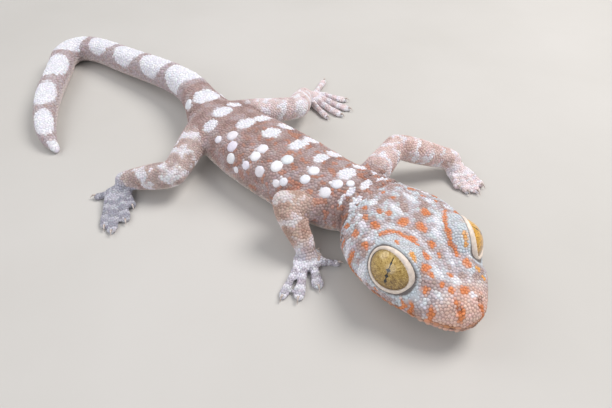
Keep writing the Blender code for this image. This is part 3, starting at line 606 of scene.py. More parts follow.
def tinted(tint, layer, values, share=1.0):
    """A tint under a layer: its colour and strength, and the values where it starts and is full."""
    colour, strength, low, high = layer
    return mix(tint, colour, strength * share * smooth_step(low, high, values))


def mottled(tint, layers, coarse, fine):
    """A tint under layers that follow shares of coarse and fine noise."""
    for coarse_share, fine_share, layer in layers:
        tint = tinted(tint, layer, coarse_share * coarse + fine_share * fine)
    return tint


def bump(values, centre, width):
    """Bell curve about a centre."""
    return np.exp(-((values - centre) / width) ** 2)


def relief(values, form):
    """Raised or sunk form at distances from its line: its height, where it lies, its width."""
    height, middle, width = form
    return height * bump(values, middle, width)


def noise_at(points, field):
    """Smooth noise from about -1 to 1 at points, from a named field."""
    size, shift = NOISE[field]
    moved = points / size + shift
    return np.array([noise.noise(point) for point in moved.tolist()])


def noises_at(points, part, *fields):
    """Noise at points from some named fields of one part of the body."""
    return (noise_at(points, part + "_" + field) for field in fields)


def curve_through(stations, steps):
    """Sample a smooth curve through rows of numbers, with steps between each pair."""
    table = np.array(stations, float)
    padded = np.vstack((table[:1], table, table[-1:]))
    rows = []
    for index in range(len(table) - 1):
        a, b, c, d = padded[index:index + 4]
        for step in range(steps):
            t = step / steps
            rows.append(0.5 * (2 * b + (c - a) * t + (2 * a - 5 * b + 4 * c - d) * t ** 2
                               + (3 * b - 3 * c + d - a) * t ** 3))
    rows.append(table[-1])
    return np.array(rows)


def profile(table, place):
    """Read a table's other columns at values of its first, through a smooth curve."""
    dense = curve_through(table, PROFILE_STEPS)
    return [np.interp(place, dense[:, 0], dense[:, column]) for column in range(1, dense.shape[1])]


def circle(centre, first, second, radius, sides):
    """Points of a circle, or of an ellipse for two directions of unequal length."""
    angle = 2.0 * math.pi * np.arange(sides) / sides
    return centre + radius * (np.outer(np.cos(angle), first) + np.outer(np.sin(angle), second))


def ring_quads(count, sides, closed=False):
    """Faces between a row of rings with equal counts of points."""
    side = np.arange(sides)
    after = (side + 1) % sides
    quads = []
    for ring in range(count if closed else count - 1):
        low = ring * sides
        high = (ring + 1) % count * sides
        quads.append(np.stack((low + side, low + after, high + after, high + side), 1))
    return quads


def loft(rings, start_pole, end_pole):
    """Points and triangles of a closed skin over a row of rings with equal counts."""
    sides = len(rings[0])
    points = np.vstack((*rings, [start_pole], [end_pole]))
    side = np.arange(sides)
    after = (side + 1) % sides
    faces = []
    for quad in ring_quads(len(rings), sides):
        faces.extend((quad[:, (0, 1, 2)], quad[:, (0, 2, 3)]))
    last = (len(rings) - 1) * sides
    tip = len(points) - 1
    faces.append(np.stack((after, side, np.full(sides, tip - 1)), 1))
    faces.append(np.stack((last + side, last + after, np.full(sides, tip)), 1))
    return points, np.vstack(faces)


def unit(vector):
    """Vector or rows of vectors of length one."""
    length = np.linalg.norm(vector, axis=-1, keepdims=True)
    return vector / np.maximum(length, 1e-9)


def facing(direction, way):
    """A direction, or its opposite where that points more the given way."""
    return direction if direction @ way >= 0.0 else -direction


def head_point(back, out, height):
    """Point of the head from its distance behind the snout, to the left and up."""
    return SNOUT - FORWARD * back + LEFT * out + UP * height


def axes_of_look(side, forward_angle, up_angle):
    """The way an eye looks, and the ways along and across it, before any tilt."""
    flat = FORWARD * math.sin(forward_angle) + LEFT * side * math.cos(forward_angle)
    look = flat * math.cos(up_angle) + UP * math.sin(up_angle)
    along = facing(unit(np.cross(look, UP)), FORWARD)
    return look, along, facing(unit(np.cross(along, look)), UP)


def eye_axes(side):
    """Centre of an eye, the way it looks, and the ways along and across its lids."""
    look, along, across = axes_of_look(side, EYE_LOOK_FORWARD, EYE_LOOK_UP)
    tilted = along * math.cos(LID_TILT) + across * math.sin(LID_TILT)
    rising = across * math.cos(LID_TILT) - along * math.sin(LID_TILT)
    return head_point(EYE_BACK, side * EYE_OUT, EYE_HEIGHT), look, tilted, rising


def body_axis():
    """Rows, centres, ways to the left and distances along the body behind the head."""
    behind_head = SNOUT - FORWARD * (HEAD_LENGTH - NECK_START)
    inside_head = behind_head + FORWARD * NECK_OVERLAP * HEAD_LENGTH
    half, crown, level, _, chin = (column[-1] for column in np.array(HEAD_PROFILE)[:, 1:].T)
    rear = (half * HEAD_WIDTH, crown, level, chin)
    tail = []
    for x, y, height, share in TAIL_STATIONS:
        radius = share * TAIL_THICKNESS
        tail.append((x, y, radius, height + radius, height, height - radius))
    stations = [
        (inside_head[0], inside_head[1], *rear),
        (behind_head[0], behind_head[1], *rear),
        *TRUNK_STATIONS,
        *tail,
    ]
    rows = curve_through(stations, BODY_STEPS)[BODY_STEPS:]
    heading = np.gradient(rows[:, :2], axis=0)
    heading = -unit(heading)
    blend = np.clip(np.arange(len(rows)) / NECK_TURN_ROWS, 0.0, 1.0)[:, None]
    heading = unit(FORWARD[:2] * (1.0 - blend) + heading * blend)
    left = np.column_stack((-heading[:, 1], heading[:, 0], np.zeros(len(rows))))
    centres = np.column_stack((rows[:, :2], np.zeros(len(rows))))
    steps = np.linalg.norm(np.diff(rows[:, :2], axis=0), axis=1)
    station = np.concatenate(((0.0,), np.cumsum(steps)))
    return rows, centres, left, station


BODY_ROWS, BODY_CENTRES, BODY_LEFT, BODY_STATION = body_axis()


def body_surface(index, angle, grow=0.0):
    """Points of the body's section at a row, for angles from the back, left positive."""
    half, top, level, under = BODY_ROWS[index, 2:]
    sine, cosine = np.sin(angle), np.cos(angle)
    out = np.copysign(np.abs(sine) ** (2.0 / SECTION_POWER), sine) * (half + grow)
    reach = np.where(cosine >= 0.0, top - level, level - under) + grow
    rise = np.copysign(np.abs(cosine) ** (2.0 / SECTION_POWER), cosine)
    height = np.maximum(level + reach * rise, 0.0)
    return BODY_CENTRES[index] + np.outer(out, BODY_LEFT[index]) + np.outer(height, UP)


def body_shape():
    """Closed body from inside the head to the tip of the tail."""
    angle = 2.0 * math.pi * np.arange(BODY_SIDES) / BODY_SIDES
    rings = [body_surface(index, angle) for index in range(len(BODY_ROWS))]
    level = UP * BODY_ROWS[0, 4]
    end = BODY_CENTRES[-1] + UP * BODY_ROWS[-1, 4] + unit(BODY_CENTRES[-1] - BODY_CENTRES[-2]) * TAIL_END
    return loft(rings, BODY_CENTRES[0] + level, end)


def limb_shape(start, end, start_radius, end_radius, swell):
    """One length of a limb: a tube with round ends whose muscle swells near its root."""
    axis = unit(end - start)
    across = unit(np.cross(axis, UP))
    rise = np.cross(across, axis)
    length = np.linalg.norm(end - start)
    caps = np.linspace(0.0, 0.5 * math.pi, CAP_STEPS + 1)[1:-1]
    rows = [(-start_radius * math.cos(angle), start_radius * math.sin(angle)) for angle in caps]
    for step in range(LIMB_STEPS + 1):
        t = step / LIMB_STEPS
        muscle = swell * math.sin(math.pi * t ** MUSCLE_SKEW)
        rows.append((length * t, start_radius + (end_radius - start_radius) * t + muscle))
    rows.extend((length + end_radius * math.cos(angle), end_radius * math.sin(angle))
                for angle in reversed(caps))
    rings = [circle(start + axis * along, across, rise, radius, LIMB_SIDES) for along, radius in rows]
    return loft(rings, start - axis * start_radius, end + axis * end_radius)


def ellipsoid(centre, axes, radii, steps=BALL_STEPS, sides=BALL_SIDES):
    """Closed ellipsoid round a centre, from three unit directions and three radii."""
    rings = []
    for index in range(1, steps):
        angle = math.pi * index / steps
        middle = centre + axes[0] * radii[0] * math.cos(angle)
        spread = math.sin(angle)
        rings.append(circle(middle, axes[1] * radii[1] * spread, axes[2] * radii[2] * spread, 1.0, sides))
    return loft(rings, centre + axes[0] * radii[0], centre - axes[0] * radii[0])


def palm_ways(plan):
    """Middle of a palm on the floor, and the ways ahead and across it."""
    palm = np.array((*plan["joints"][3][:2], 0.0))
    tips = np.array([(*tip, 0.0) for tip, _ in plan["digits"][:LEADING_DIGITS]])
    ahead = unit(unit(tips - palm).sum(axis=0))
    return palm, ahead, facing(np.cross(UP, ahead), tips[-1] - tips[0])


def digit_line(plan, number):
    """Root and tip of a digit on the floor, its direction, and the width of its pad."""
    palm, ahead, across = palm_ways(plan)
    tip, width = plan["digits"][number]
    tip = np.array((*tip, 0.0))
    if number < LEADING_DIGITS:
        rank = number - 0.5 * (LEADING_DIGITS - 1)
        root = palm + ahead * DIGIT_ROOT_AHEAD + across * DIGIT_ROOT_PITCH * rank
    else:
        root = palm + unit(tip - palm) * DIGIT_ROOT_AHEAD
    return root, tip, unit(tip - root), width


def digit_shape(plan, number):
    """One digit: a slim root with low knuckles, a wide flat pad and a rounded end."""
    root, tip, forward, pad_width = digit_line(plan, number)
    length = np.linalg.norm(tip - root) - DIGIT_CLAW_SHARE * CLAW_LENGTH
    left = np.cross(UP, forward)
    rings = []
    for step in range(DIGIT_STEPS + 1):
        t = step / DIGIT_STEPS
        width, height = profile(DIGIT_PROFILE, t)
        ending = max(t - DIGIT_ROUND_END, 0.0) / (1.0 - DIGIT_ROUND_END)
        width = width * math.sqrt(max(1.0 - DIGIT_END[0] * ending ** 2, 0.0))
        height = height * math.sqrt(max(1.0 - DIGIT_END[1] * ending ** 2, 0.0))
        angle = 2.0 * math.pi * np.arange(DIGIT_SIDES) / DIGIT_SIDES
        top = DIGIT_HEIGHT * height
        rise = np.maximum(0.5 * top * (1.0 + DIGIT_FLATNESS * np.sin(angle)), 0.0)
        centre = root + forward * length * t
        reach = 0.5 * DIGIT_SLIM * pad_width * width
        rings.append(centre + np.outer(reach * np.cos(angle), left) + np.outer(rise, UP))
    return loft(rings, root + UP * DIGIT_ROOT_HEIGHT, rings[-1].mean(axis=0) + forward * DIGIT_END_REACH)


def stored(items, field, width, kind=np.float32):
    """Rows of what a mesh stores in a field of its points, corners or faces."""
    values = np.empty(len(items) * width, kind)
    items.foreach_get(field, values)
    return values.reshape(-1, width)


def node_shape(name):
    """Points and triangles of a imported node, in millimetres."""
    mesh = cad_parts[name].data
    mesh.calc_loop_triangles()
    faces = stored(mesh.loop_triangles, "vertices", 3, np.int32)
    return stored(mesh.vertices, "co", 3).astype(float) / MM, faces


def flesh_shapes():
    """Every closed shape that the skin is wrapped round."""
    shapes = [node_shape("head"), body_shape()]
    for side in (-1.0, 1.0):
        centre, look, along, across = eye_axes(side)
        shapes.append(ellipsoid(centre, (look, along, across), [EYE_RADIUS + BROW_THICKNESS] * 3))
    for plan in LIMBS.values():
        root, bend, wrist, palm = (np.array(point) for point in plan["joints"])
        thick, middle, thin = plan["radii"]
        shapes.append(limb_shape(root, bend, thick, middle, MUSCLE_SWELL))
        shapes.append(limb_shape(bend, wrist, middle, thin, MUSCLE_SWELL))
        shapes.append(limb_shape(wrist - unit(wrist - bend), palm, WRIST_FLARE * thin, PALM_END_RADIUS, 0.0))
        flat_palm = np.array((palm[0], palm[1], 0.5 * PALM_HEIGHT))
        _, ahead, across = palm_ways(plan)
        radii = (0.5 * PALM_HEIGHT, PALM_HALF_LENGTH, PALM_HALF_WIDTH)
        shapes.append(ellipsoid(flat_palm, (UP, ahead, across), radii))
        shapes.extend(digit_shape(plan, number) for number in range(len(plan["digits"])))
    return shapes


def build_mesh(name, points, corners, sizes, look):
    """Smooth object from points in millimetres and the corners of faces in a row."""
    mesh = bpy.data.meshes.new(name)
    mesh.vertices.add(len(points))
    mesh.vertices.foreach_set("co", (np.asarray(points) * MM).astype(np.float32).ravel())
    mesh.loops.add(len(corners))
    mesh.loops.foreach_set("vertex_index", np.asarray(corners, np.int32))
    mesh.polygons.add(len(sizes))
    starts = np.concatenate(((0,), np.cumsum(sizes)[:-1])).astype(np.int32)
    mesh.polygons.foreach_set("loop_start", starts)
    mesh.update(calc_edges=True)
    mesh.shade_smooth()
    obj = bpy.data.objects.new(name, mesh)
    bpy.context.scene.collection.objects.link(obj)
    if look is not None:
        mesh.materials.append(look)
    return obj


def joined(shapes):
    """Points, corners and sizes of faces of many shapes of triangles put together."""
    points = []
    faces = []
    count = 0
    for shape_points, shape_faces in shapes:
        points.append(shape_points)
        faces.append(shape_faces + count)
        count += len(shape_points)
    faces = np.vstack(faces)
    return np.vstack(points), faces.ravel(), np.full(len(faces), 3)


def wrapped(shapes):
    """Points and quads of one closed surface round all the shapes."""
    # The remesh works in millimetres, where its numbers are of a handy size.
    points, corners, sizes = joined(shapes)
    block = build_mesh("block", points / MM, corners, sizes, None)
    remesh = block.modifiers.new("remesh", "REMESH")
    remesh.mode = "VOXEL"
    remesh.voxel_size = VOXEL
    found = block.evaluated_get(bpy.context.evaluated_depsgraph_get()).to_mesh()
    skin = stored(found.vertices, "co", 3).astype(float)
    quads = stored(found.loops, "vertex_index", 1, np.int32).reshape(-1, 4)
    bpy.data.objects.remove(block)
    return skin, quads


def edges_of(quads):
    """Each edge of the quads once, as pairs of points."""
    pairs = np.vstack([quads[:, (side, (side + 1) % 4)] for side in range(4)])
    return np.unique(np.sort(pairs, axis=1), axis=0)


def relaxed(points, edges, weight, rounds):
    """Points moved towards the mean of their neighbours, round after round."""
    count = len(points)
    first, second = edges.T
    valence = np.bincount(first, minlength=count) + np.bincount(second, minlength=count)
    for _ in range(rounds):
        total = np.empty_like(points)
        for axis in range(3):
            total[:, axis] = np.bincount(first, points[second, axis], count)
            total[:, axis] += np.bincount(second, points[first, axis], count)
        points = points + (total / valence[:, None] - points) * weight[:, None]
    return points


def quad_normals(points, quads):
    """Outward unit normal of each quad."""
    corner = points[quads]
    return unit(np.cross(corner[:, 2] - corner[:, 0], corner[:, 3] - corner[:, 1]))


def point_normals(points, quads):
    """Outward unit normal at each point."""
    normals = quad_normals(points, quads)
    total = np.zeros_like(points)
    for side in range(4):
        for axis in range(3):
            total[:, axis] += np.bincount(quads[:, side], normals[:, axis], len(points))
    return unit(total)


def head_places(points):
    """Distance behind the snout, to the left of the midline and up, for points."""
    away = points - SNOUT
    return -(away @ FORWARD), away @ LEFT, points[:, 2]


def mouth_height(back):
    """Height of the line of the mouth."""
    return profile(HEAD_PROFILE, np.clip(back / HEAD_LENGTH, 0.0, 1.0))[3]


def mouth_closing(back, softness):
    """One along the mouth, falling to nothing behind its corner."""
    end = MOUTH_END * HEAD_LENGTH
    return smooth_step(end + softness, end - softness, back)


def sculpted(points, quads):
    """The wrapped surface with its fillets, eye openings, lips, nostrils, ears and folds."""
    edges = edges_of(quads)
    region = regions(points)
    foot = (region["limb"] >= 0) & (region["station"] > WRISTS[region["limb"]] - 1.0)
    points = relaxed(points, edges, np.where(foot, FOOT_SMOOTHING, SMOOTHING), SMOOTH_ROUNDS)
    near = np.zeros(len(points))
    for plan in LIMBS.values():
        root, bend = (np.array(point) for point in plan["joints"][:2])
        for share in FILLET_SHARES:
            distance = np.linalg.norm(points - (root + (bend - root) * share), axis=1)
            close = smooth_step(FILLET_REACH + FILLET_SOFTNESS, FILLET_REACH - FILLET_SOFTNESS, distance)
            near = np.maximum(near, close)
    points = relaxed(points, edges, SMOOTHING * near, FILLET_ROUNDS)

    normals = point_normals(points, quads)
    points = points - normals * COAT_DEPTH
    back, out, height = head_places(points)
    on_head = smooth_step(HEAD_LENGTH + HEAD_END[0], HEAD_LENGTH + HEAD_END[1], back)
    on_head = on_head * (np.abs(out) < HEAD_REACH) * (height > HEAD_LOWEST)
    push = np.zeros(len(points))

    away = height - mouth_height(back)
    on_side = smooth_step(*SIDE_TILT, 1.0 - np.abs(normals[:, 2])) * on_head
    closing = mouth_closing(back, 0.8)
    push += relief(away, MOUTH_GROOVE) * on_side * closing
    push += relief(np.abs(away), LIP_SWELL) * on_side * closing

    for side in (-1.0, 1.0):
        place = head_point(NOSTRIL[0], side * NOSTRIL[1], NOSTRIL[2])
        distance = np.linalg.norm(points - place, axis=1)
        for form in NOSTRIL_FORMS:
            push += relief(distance, form)
        slit = ear_distance(points, side, EAR_SIZE)
        for form in EAR_FORMS:
            push += relief(slit, form)

    folds = noise_at(points, "folds")
    station = region["spine_station"]
    behind = (region["kind"] == BODY) * smooth_step(*FOLDS_FROM, station)
    for place, depth in NECK_FOLDS:
        away = station + FOLD_WAVE * folds - place
        push += behind * depth * (relief(away, FOLD_SWELL) - bump(away, 0.0, FOLD_WIDTH))
    push += UNEVENNESS * noise_at(points, "unevenness") * (region["kind"] == BODY)
    points = points + normals * push[:, None]

    for side in (-1.0, 1.0):
        points = opened(points, side)
    points[:, 2] = np.maximum(points[:, 2], SKIN_FLOOR)
    return points


def ear_distance(points, side, size):
    """How far points lie from an ear's middle, as a share of its size along, up and out."""
    away = points - head_point(EAR[0], side * EAR[1], EAR[2])
    along, up, out = size
    return np.sqrt((away @ FORWARD / along) ** 2 + (away[:, 2] / up) ** 2 + (away @ LEFT / out) ** 2)


def beyond_lid(points, side):
    """How far points lie beyond the rim of a lid, and how far from the eye's centre."""
    centre, look, along, across = eye_axes(side)
    away = points - centre
    distance = np.linalg.norm(away, axis=1)
    first = (away @ along) / LID_HALF_LENGTH
    second = (away @ across) / LID_HALF_HEIGHT
    edge = 1.0 + lid_thickness(np.arctan2(second, first)) / LID_MEAN_HALF
    near = (away @ look > 0.0) & (distance < EYE_RADIUS + EYE_SURROUND)
    return np.where(near, np.hypot(first, second) - edge, 9.0), distance


def opened(points, side):
    """Points moved clear of an eye: sunk inside its opening, and sloping down to its lids."""
    centre = head_point(EYE_BACK, side * EYE_OUT, EYE_HEIGHT)
    beyond, distance = beyond_lid(points, side)
    sunk = smooth_step(*SOCKET_EDGE, beyond)
    limit = EYE_RADIUS + LID_SEAT + LID_SLOPE * LID_MEAN_HALF * np.maximum(beyond, 0.0)
    limit = np.where(beyond < LID_CLEAR, np.minimum(distance, limit), distance)
    wanted = limit * (1.0 - sunk) + (EYE_RADIUS - SOCKET_DEPTH) * sunk
    wanted = np.where(distance < EYE_RADIUS + EYE_SURROUND, wanted, distance)
    return centre + (points - centre) * (wanted / distance)[:, None]


def lid_thickness(angle):
    """Radius of a lid's rim round the eye, for angles from the front, up positive."""
    share = 0.5 + 0.5 * np.cos(angle - LID_BROAD_WAY)
    return LID_RADIUS_BELOW + (LID_RADIUS_ABOVE - LID_RADIUS_BELOW) * share


def tree_of(points):
    """Tree that finds the nearest of some points."""
    tree = kdtree.KDTree(len(points))
    for index, point in enumerate(points.tolist()):
        tree.insert(point, index)
    tree.balance()
    return tree


def nearest(points, samples):
    """Index of the nearest sample for each point, and the distance to it."""
    tree = tree_of(samples)
    found = [tree.find(point) for point in points.tolist()]
    return np.array([row[1] for row in found]), np.array([row[2] for row in found])


def spine_samples():
    """Middle, way to the left, half width, top, level, underside and station of the spine."""
    share = np.linspace(*HEAD_SAMPLE_ENDS, HEAD_SAMPLES)
    half, crown, level, _, chin = profile(HEAD_PROFILE, share)
    back = share * HEAD_LENGTH
    middle = SNOUT - np.outer(back, FORWARD) + np.outer(level, UP)
    left = np.tile(LEFT, (len(share), 1))
    head = np.column_stack((middle, left, half * HEAD_WIDTH, crown, level, chin, back - HEAD_LENGTH))
    rows = BODY_ROWS
    middle = BODY_CENTRES + np.outer(rows[:, 4], UP)
    body = np.column_stack((middle, BODY_LEFT, rows[:, 2:], BODY_STATION))
    return np.vstack((head, body))


def arc_table():
    """Distance over the skin from the back's midline at even angles, for each body row."""
    turn = np.linspace(0.0, math.pi, ARC_STEPS)
    table = []
    for index in range(len(BODY_ROWS)):
        ring = body_surface(index, turn)
        half, top, level, under = BODY_ROWS[index, 2:]
        wide = (ring - BODY_CENTRES[index]) @ BODY_LEFT[index] / half
        rise = ring[:, 2] - level
        high = rise / np.where(rise >= 0.0, top - level, level - under)
        angle = np.arctan2(wide, high)
        arc = np.concatenate(((0.0,), np.cumsum(np.linalg.norm(np.diff(ring, axis=0), axis=1))))
        table.append(np.interp(turn, angle, arc))
    return np.array(table)


SPINE = spine_samples()
ARCS = arc_table()


def limb_samples(plan):
    """Middle, radius, distance from the root, digit number and share along the digit."""
    joints = [np.array(point) for point in plan["joints"]]
    radii = (*plan["radii"], PALM_RADIUS)
    samples = []
    travelled = 0.0
    for index in range(3):
        length = np.linalg.norm(joints[index + 1] - joints[index])
        for share in np.arange(0.0, 1.0, LIMB_SAMPLE_PITCH / length):
            middle = joints[index] + (joints[index + 1] - joints[index]) * share
            radius = radii[index] + (radii[index + 1] - radii[index]) * share
            samples.append((*middle, radius, travelled + length * share, -1.0, 0.0))
        travelled += length
    for number in range(len(plan["digits"])):
        root, tip, _, width = digit_line(plan, number)
        for share in np.linspace(DIGIT_SAMPLE_START, 1.0, DIGIT_SAMPLES):
            middle = root + (tip - root) * share + UP * DIGIT_MIDDLE
            samples.append((*middle, DIGIT_RADIUS * width, travelled + DIGIT_STATIONS * share, number, share))
    return np.array(samples)


def wrist_station(plan):
    """Distance along a limb from its root to its wrist or ankle."""
    root, bend, wrist = (np.array(point) for point in plan["joints"][:3])
    return np.linalg.norm(bend - root) + np.linalg.norm(wrist - bend)


LIMB_AXES = [limb_samples(plan) for plan in LIMBS.values()]
WRISTS = np.array([wrist_station(plan) for plan in LIMBS.values()])


def regions(points):
    """Where points are: along and round the spine, and on which limb or digit, if any."""
    index, distance = nearest(points, SPINE[:, :3])
    row = SPINE[index]
    away = points - row[:, :3]
    out = np.einsum("ij,ij->i", away, row[:, 3:6])
    half, top, level, under, spine_station = row[:, 6:].T
    reach = np.where(away[:, 2] >= 0.0, top - level, level - under)
    wide = out / half
    high = away[:, 2] / np.maximum(reach, 0.1)
    best = (np.abs(wide) ** SECTION_POWER + np.abs(high) ** SECTION_POWER) ** (1.0 / SECTION_POWER)
    # Past the tip of the tail a point can lie in line with it, and yet be far away.
    best = np.maximum(best, SPINE_REACH * distance / np.maximum(half, reach))
    turn = np.abs(np.arctan2(wide, high))
    place = turn / math.pi * (ARC_STEPS - 1)
    low = np.minimum(place.astype(int), ARC_STEPS - 2)
    body_row = np.maximum(index - HEAD_SAMPLES, 0)
    arc = ARCS[body_row, low] + (ARCS[body_row, low + 1] - ARCS[body_row, low]) * (place - low)
    kind = np.where(spine_station < 0.0, HEAD, BODY)
    station = spine_station.copy()
    round_limb = turn.copy()
    share = np.zeros(len(points))
    limb = np.full(len(points), -1)
    for number, samples in enumerate(LIMB_AXES):
        index, distance = nearest(points, samples[:, :3])
        closer = distance / samples[index, 3] < best * LIMB_PREFERENCE
        found = samples[index[closer]]
        distance = distance[closer]
        best[closer] = distance / found[:, 3]
        kind[closer] = np.where(found[:, 5] >= 0.0, DIGIT, LIMB_KIND)
        station[closer] = found[:, 4]
        lift = (points[closer, 2] - found[:, 2]) / np.maximum(distance, 0.01)
        round_limb[closer] = np.arccos(np.clip(lift, -1.0, 1.0))
        share[closer] = found[:, 6]
        limb[closer] = number
    return {"kind": kind, "station": station, "angle": round_limb, "share": share, "limb": limb,
            "spine_station": spine_station, "arc": np.copysign(arc, wide)}


def oval(first, second, spot, edge):
    """Soft mask of an oval spot in two coordinates."""
    distance = np.hypot((first - spot[0]) / spot[2], (second - spot[1]) / spot[3])
    return smooth_step(1.0 + edge, 1.0 - edge, distance)


def largest_oval(first, second, spots, edge):
    """Soft mask of many oval spots in two coordinates."""
    mask = np.zeros(len(first))
    for spot in spots:
        mask = np.maximum(mask, oval(first, second, spot, edge))
    return mask


def line_distance(first, second, route):
    """Distance of points from a smooth line in two coordinates."""
    dense = curve_through(route, ROUTE_STEPS)
    away = np.hypot(first[:, None] - dense[:, 0], second[:, None] - dense[:, 1])
    return away.min(axis=1)


def paint_head(points):
    """Colours of the head."""
    back, out, height = head_places(points)
    warp, warp_out, coarse, fine, dark = noises_at(points, "head", "back", "out", "coarse", "fine", "dark")
    back_w = back + HEAD_WARP * warp
    out_w = out + HEAD_WARP * warp_out
    size = np.abs(out)
    tint = mottled(HEAD_GREY[None], HEAD_MOTTLES, coarse, fine)
    tint = tinted(tint, HEAD_FLECKS, dark)
    on_dome = smooth_step(*DOME_EDGE, np.hypot(back - EYE_BACK, size - BROW_OUT))
    tint = tinted(tint, DOME_BLUE, height, on_dome)
    tint = tinted(tint, CROWN_BROWN, fine, smooth_step(*CROWN_EDGE, size) * bump(back, *CROWN_PLACE))
    tint = tinted(tint, SNOUT_BLUSH, back + 0.25 * size + 0.6 * coarse)
    white = largest_oval(back_w, out_w, WHITE_PATCHES, WHITE_EDGE)
    for band in BROW_BANDS:
        band_edge = smooth_step(*BROW_BAND_EDGE, line_distance(back_w, out_w, band))
        white = np.maximum(white, BAND_WHITE * band_edge)
    tint = mix(tint, WHITE, HEAD_WHITE * white)
    orange = largest_oval(back_w, out_w, ORANGE_SPOTS, ORANGE_EDGE)
    for brow in BROW_LINES:
        orange = np.maximum(orange, smooth_step(*BROW_LINE_EDGE, line_distance(back_w, out_w, brow)))
    mouth = mouth_height(back)
    away = height - mouth
    orange *= smooth_step(*ABOVE_MOUTH, away)
    tint = mix(tint, tinted(ORANGE[None], NAPE_ORANGE, back), HEAD_ORANGE * orange)
    for spot in YELLOW_SPOTS:
        tint = mix(tint, ORANGE_BRIGHT, HEAD_YELLOW * oval(back_w, out_w, spot, ORANGE_EDGE))

    closing = mouth_closing(back, 0.6)
    tint = tinted(tint, JAW_TINT, away)
    tint = tinted(tint, CHIN_TINT, away)
    tint = tinted(tint, LIP_TINT, warp, bump(away, *LIP_EDGE) * closing)
    tint = mix(tint, MOUTH_DARK, MOUTH_LINE * bump(away, 0.0, MOUTH_LINE_WIDTH) * closing)

    # A dark line of painted shadow and a pale ring run round each lid.
    beyond = np.minimum(beyond_lid(points, -1.0)[0], beyond_lid(points, 1.0)[0])
    return tinted(tinted(tint, LID_RING, beyond), LID_SHADOW_LINE, beyond)


def trunk_spots():
    """The trunk's white spots, with the left flank's copies of the right flank's."""
    spots = []
    copies = []
    for place, arc, long, wide in TRUNK_SPOTS:
        size = (SPOT_GROWTH * long, SPOT_GROWTH * wide)
        spots.append((place, arc, *size))
        if arc < MIRROR_FROM:
            copies.append((place, MIRROR_ARC - arc, *size))
    return spots + copies


def paint_body(points, region):
    """Colours of the neck, trunk and tail."""
    station, arc = region["spine_station"], region["arc"]
    size = np.abs(arc)
    warp, coarse, fine, rusty = noises_at(points, "body", "warp", "coarse", "fine", "rust")
    tint = mottled(MAUVE[None], BODY_MOTTLES, coarse, fine)
    tint = tinted(tint, BODY_RUST, rusty, smooth_step(*RUST_END, station))
    # Painted shade darkens the crease of each neck fold on the sides of the neck.
    for crease, strength in NECK_CREASE_SHADOWS:
        fold = bump(station + 0.3 * warp, crease, FOLD_WIDTH) * smooth_step(*CREASE_SIDE, size)
        tint = mix(tint, MAUVE_DARK * 0.5, strength * fold)

    place = station + 0.1 * warp
    tint = mix(tint, WHITE, SPOT_WHITE * largest_oval(place, arc, trunk_spots(), SPOT_EDGE))
    girth = np.interp(station, *SKIN_GIRTH)
    tint = tinted(tint, BELLY_TINT, size / girth + 0.1 * warp)

    on_tail = smooth_step(TAIL_START - TAIL_BLEND, TAIL_START + TAIL_BLEND, station)
    phase = np.interp(place, TAIL_BANDS, np.arange(len(TAIL_BANDS)))
    bands = np.hypot((phase - np.round(phase)) / TAIL_BAND_SIZE[0], size / girth / TAIL_BAND_SIZE[1])
    tail = tinted(MAUVE_PALE[None], TAIL_MOTTLE, fine)
    tail = tinted(tail, TAIL_BAND, bands + 0.04 * coarse)
    tail = tinted(tail, TAIL_BELLY, size / girth)
    return mix(tint, tail, on_tail)


def paint_limbs(points, region):
    """Colours of the legs, hands and feet."""
    station, limb = region["station"], region["limb"]
    coarse, fine, gaps, rusty = noises_at(points, "limb", "coarse", "fine", "gaps", "rust")
    # Each limb's ground, mottles and foot carry painted light: lighter on the left limbs, darker on the hind
    # right foot.
    ground = LIMB_GROUND[limb]
    dark = coarse + 0.3 * fine
    tint = tinted(ground, (LIMB_DARK[limb], *LIMB_MOTTLE), dark)
    pitch, first, strength = LIMB_BARS[limb].T
    slanted = station - first + BAR_WAVE * coarse + BAR_SLANT * region["angle"]
    bars = smooth_step(*BAR_EDGE, np.cos(2.0 * math.pi * slanted / pitch))
    bars = bars * smooth_step(*BAR_GAPS, gaps)
    blotches = BLOTCH_WHITE * smooth_step(*LIMB_BLOTCHES, -coarse + 0.3 * fine)
    tint = mix(tint, WHITE, strength * np.maximum(bars, blotches))
    tint = tinted(tint, LIMB_RUST, rusty)
    pale = tinted(FOOT[limb], (ground, *FOOT_MOTTLE), dark)
    pale = tinted(pale, FOOT_BLOTCHES, -coarse, FOOT_WHITE[limb])
    tint = tinted(tint, (pale, *FOOT_FADE), station - WRISTS[limb])
    digit = (region["kind"] == DIGIT).astype(float)
    knuckles = np.cos(2.0 * math.pi * (region["share"] * KNUCKLES - KNUCKLE_START))
    tint = mix(tint, FOOT[limb] * DIGIT_SHADE, 0.8 * digit)
    tint = tinted(tint, KNUCKLE_WHITE, knuckles, FOOT_WHITE[limb] * digit)
    return tinted(tint, LIMB_BELLY, region["angle"], 1.0 - digit)


def paint(points, region):
    """Colour of the skin at points, from the markings of head, body and limbs."""
    tint = np.empty((len(points), 3))
    limb = region["limb"] >= 0
    on_head = region["spine_station"] < HEAD_COLOURS_END

    def part(chosen):
        return {key: values[chosen] for key, values in region.items()}

    tint[~on_head] = paint_body(points[~on_head], part(~on_head))
    near = points[on_head]
    start, end, wave = NECK_JOIN
    place = region["spine_station"][on_head] + wave * noise_at(near, "neck_join")
    tint[on_head] = tinted(paint_head(near), (paint_body(near, part(on_head)), 1.0, start, end), place)
    near = points[limb]
    start, end, wave = LIMB_JOIN
    place = region["station"][limb] + wave * noise_at(near, "limb_join")
    tint[limb] = tinted(tint[limb], (paint_limbs(near, part(limb)), 1.0, start, end), place)
    return tint


